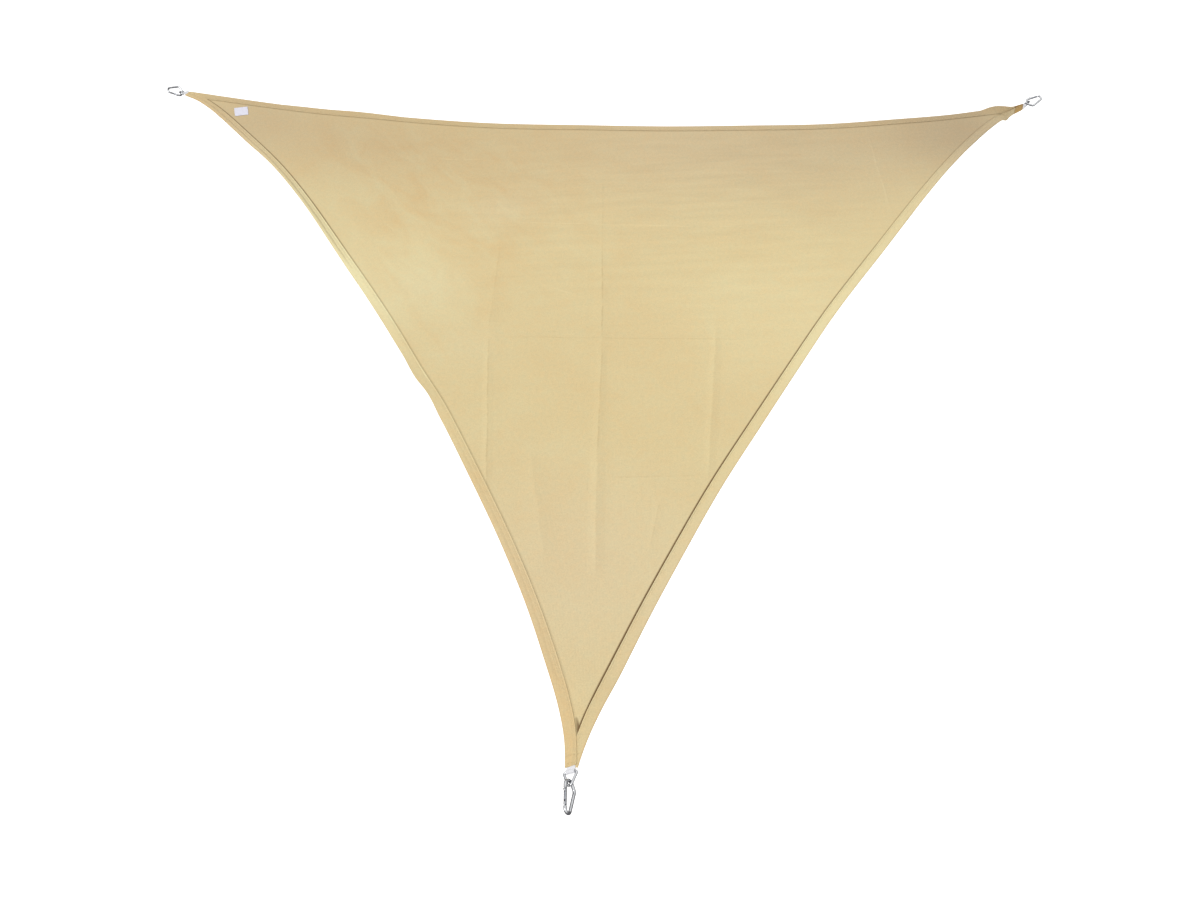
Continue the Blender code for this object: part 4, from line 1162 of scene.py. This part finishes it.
# A round bar, slotted at both ends to straddle the tongues, its edges slightly broken.
def buildGate(name):
    diameter, start, end = hook["gate"]
    width, first, second = hook["slots"]
    matrix = hookMatrix(name)
    points, faces = rod((0, (start + end) / 2, 0), (0, 1, 0), diameter, end - start, 0.0007, 32)
    piece = steelPiece("hookGate" + name.capitalize(), matrix, points, faces, "gate")
    tools = []
    for low, high in ((start - 0.005, first), (second, end + 0.005)):
        box, boxFaces = boxPoints((-diameter, low, -width / 2), (diameter, high, width / 2))
        tools.append(meshPiece("slot", placed(matrix, np.array(box)), boxFaces))
    hole, holeFaces = rod((0, hook["pivot"], 0), (0, 0, 1), hook["pin"][0] + 0.0005, 3 * diameter, 0.0001)
    tools.append(meshPiece("hole", placed(matrix, hole), holeFaces))
    for tool in tools:
        faceOut(tool)
        cutter = piece.modifiers.new("cut", "BOOLEAN")
        cutter.object = tool
        cutter.solver = "EXACT"
    edge = piece.modifiers.new("edge", "BEVEL")
    edge.width = hook["edge"]
    edge.segments = 2
    edge.limit_method = "ANGLE"
    edge.angle_limit = math.radians(45)
    settle(piece)
    for tool in tools:
        bpy.data.objects.remove(tool)
    piece.data.shade_smooth()
    piece.data.set_sharp_from_angle(angle=math.radians(sharpAngle))
    return piece


def buildPin(name):
    points, faces = rod((0, hook["pivot"], 0), (0, 0, 1), *hook["pin"], 0.0006)
    return steelPiece("hookPin" + name.capitalize(), hookMatrix(name), points, faces)


# Label: a blank woven patch sewn on near the left corner.
label = {"at": (-1.286, 2.492), "turn": 17, "width": 0.047, "height": 0.054, "thickness": 0.0008,
         "cornerPull": 0.018, "steps": 24, "stitchInset": 0.0026, "stitchLift": 0.00055,
         "stitchStep": 0.0030, "stitchSize": (0.0011, 0.00030, 0.00025)}


# Places on the label, from its middle, as plan points.
def onSail(places):
    turn = math.radians(label["turn"])
    x, y = places[:, 0], places[:, 1]
    return np.stack([label["at"][0] + x * math.cos(turn) - y * math.sin(turn),
                     label["at"][1] + x * math.sin(turn) + y * math.cos(turn)], axis=1)


def buildLabel():
    steps = label["steps"]
    uvs = []
    for j in range(steps + 1):
        for i in range(steps + 1):
            u, v = i / steps - 0.5, j / steps - 0.5
            pull = 1 - label["cornerPull"] * (2 * abs(u)) ** 6 * (2 * abs(v)) ** 6
            uvs.append((u * label["width"] * pull, v * label["height"] * pull))
    uvs = np.array(uvs)
    edge = np.maximum(2 * abs(uvs[:, 0]) / label["width"], 2 * abs(uvs[:, 1]) / label["height"])
    puff = 0.0005 * np.sin(uvs[:, 0] * 190 + 1.0) * np.cos(uvs[:, 1] * 130) * (1 - edge ** 4)
    lift = sail["layer"] + 0.0004 + 0.0003 * (1 - edge ** 8) + puff * 0.5
    size = steps + 1
    faces = [(j * size + i, j * size + i + 1, (j + 1) * size + i + 1, (j + 1) * size + i)
             for j in range(steps) for i in range(steps)]
    piece = meshPiece("labelPatch", hang(onSail(uvs), lift), faces, {"cloth": uvs})
    piece.data.materials.append(materials["label"])
    shell = piece.modifiers.new("patch", "SOLIDIFY")
    shell.thickness = label["thickness"]
    shell.offset = 1.0
    return settle(piece)


def labelRows():
    half = (label["width"] / 2 - label["stitchInset"], label["height"] / 2 - label["stitchInset"])
    square = np.array([(-1, -1), (1, -1), (1, 1), (-1, 1), (-1, -1)]) * half
    plan = onSail(resampled(square, 80))
    return [hang(plan, sail["layer"] + label["thickness"] + label["stitchLift"])]


# making it
print("scene: panel")
panel = buildPanel()
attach(panel, "sail")
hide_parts("sail_cloth")

print("scene: hems")
hems = [buildHem(name, seed) for seed, name in enumerate(("far", "right", "left"), start=3)]
for piece in hems:
    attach(piece, "sail")

print("scene: stitches")
stitches = [buildStitches("seam" + name.capitalize(), hemRows(name), hem["stitchStep"], hem["stitchSize"],
                          materials["thread"], seed) for seed, name in enumerate(edgeTables)]
stitches.append(buildStitches("cornerSeams", [row for name in corners for row in cornerRowsOf(name)],
                              crossSeams["stitchStep"], crossSeams["stitchSize"], materials["tabThread"], 9))
stitches.append(buildStitches("labelSeam", labelRows(), label["stitchStep"], label["stitchSize"],
                              materials["whiteThread"], 11))
for piece in stitches:
    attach(piece, "sail")

print("scene: straps and label")
for name in corners:
    piece = buildWebbing(name)
    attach(piece, "sail")
    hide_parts("webbing_" + name)
patch = buildLabel()
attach(patch, "sail")
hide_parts("label")

print("scene: steel")
for name in corners:
    for build, replaced, body in ((buildRing, "ring_", "sail"), (buildHook, "hook_body_", "sail"),
                               (buildPin, "hook_pin_", "sail"), (buildGate, "hook_gate_", "gate_" + name)):
        piece = build(name)
        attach(piece, body)
        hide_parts(replaced + name)

# floor, light and camera
studio = {
    "floorDrop": 4.0, "floorSize": 90.0, "floorGlow": 0.40, "floorGlowMirrored": 0.02,
    "floorColour": (0.93, 0.93, 0.93, 1.0), "floorMirrored": (0.14, 0.14, 0.15, 1.0),
    "sky": 0.86, "horizon": 0.28, "mirrorHigh": 1.10, "mirrorLow": 0.25,
    "sun": 1.22, "sunAngle": 35, "sunTurn": (38, 0, -60),
    "camera": (0.079, -1.034, 2.046), "pitch": -47.08, "yaw": 1.34, "roll": -0.10,
    "focal": 1100 / 1200 * 36,
}


def buildFloor():
    half = studio["floorSize"] / 2
    z = -studio["floorDrop"]
    floor = meshPiece("floor", [(-half, -half, z), (half, -half, z), (half, half, z), (-half, half, z)],
                      [(0, 1, 2, 3)])
    material, tree, shader = shaderNodes("paleFloor")
    # Reflections in the steel see a dimmer floor, as in a studio with dark flags below.
    mirrored = node(tree, "ShaderNodeLightPath").outputs["Is Glossy Ray"]
    colour = blended(tree, mirrored, studio["floorColour"], studio["floorMirrored"])
    tree.links.new(colour, shader.inputs["Base Color"])
    glow = ranged(tree, mirrored, 0, 1, studio["floorGlow"], studio["floorGlowMirrored"])
    tree.links.new(glow, shader.inputs["Emission Strength"])
    setInputs(shader, {"Roughness": 1.0, "Specular IOR Level": 0.0, "Emission Color": (1.0, 1.0, 1.0, 1.0)})
    floor.data.materials.append(material)


# A bright ceiling that fades to a dimmer horizon, and a broad soft lamp from the left.
def buildLight():
    world = bpy.data.worlds.new("studio")
    bpy.context.scene.world = world
    world.use_nodes = True
    tree = world.node_tree
    mirrored = node(tree, "ShaderNodeLightPath").outputs["Is Glossy Ray"]
    way = node(tree, "ShaderNodeTexCoord").outputs["Generated"]
    up = node(tree, "ShaderNodeSeparateXYZ", {0: way}).outputs["Z"]
    light = ranged(tree, up, 0.10, 0.55, studio["horizon"], studio["sky"])
    mirror = ranged(tree, up, 0.05, 0.60, studio["mirrorLow"], studio["mirrorHigh"])
    light = plus(tree, times(tree, light, maths(tree, "SUBTRACT", 1.0, mirrored)),
                 times(tree, mirror, mirrored))
    tree.links.new(light, tree.nodes["Background"].inputs["Strength"])
    tree.nodes["Background"].inputs["Color"].default_value = (1, 1, 1, 1)
    lamp = bpy.data.lights.new("window", "SUN")
    lamp.energy = studio["sun"]
    lamp.angle = math.radians(studio["sunAngle"])
    made = link(bpy.data.objects.new("window", lamp))
    made.rotation_euler = [math.radians(angle) for angle in studio["sunTurn"]]


def buildCamera():
    yaw, pitch, roll = (math.radians(studio[name]) for name in ("yaw", "pitch", "roll"))
    turn = Matrix.Rotation(yaw, 3, "Z") @ Matrix.Rotation(pitch, 3, "X") @ Matrix.Rotation(roll, 3, "Y")
    right, forward, up = turn.col[0], turn.col[1], turn.col[2]
    axes = Matrix((right, up, -forward)).transposed().to_4x4()
    data = bpy.data.cameras.new("camera")
    data.sensor_width = 36
    data.lens = studio["focal"]
    data.clip_end = 200
    camera = link(bpy.data.objects.new("camera", data))
    camera.matrix_world = Matrix.Translation(Vector(sail["nearCorner"]) + Vector(studio["camera"])) @ axes
    bpy.context.scene.camera = camera


print("scene: floor, light and camera")
buildFloor()
buildLight()
buildCamera()
bpy.context.scene.view_settings.view_transform = "Standard"
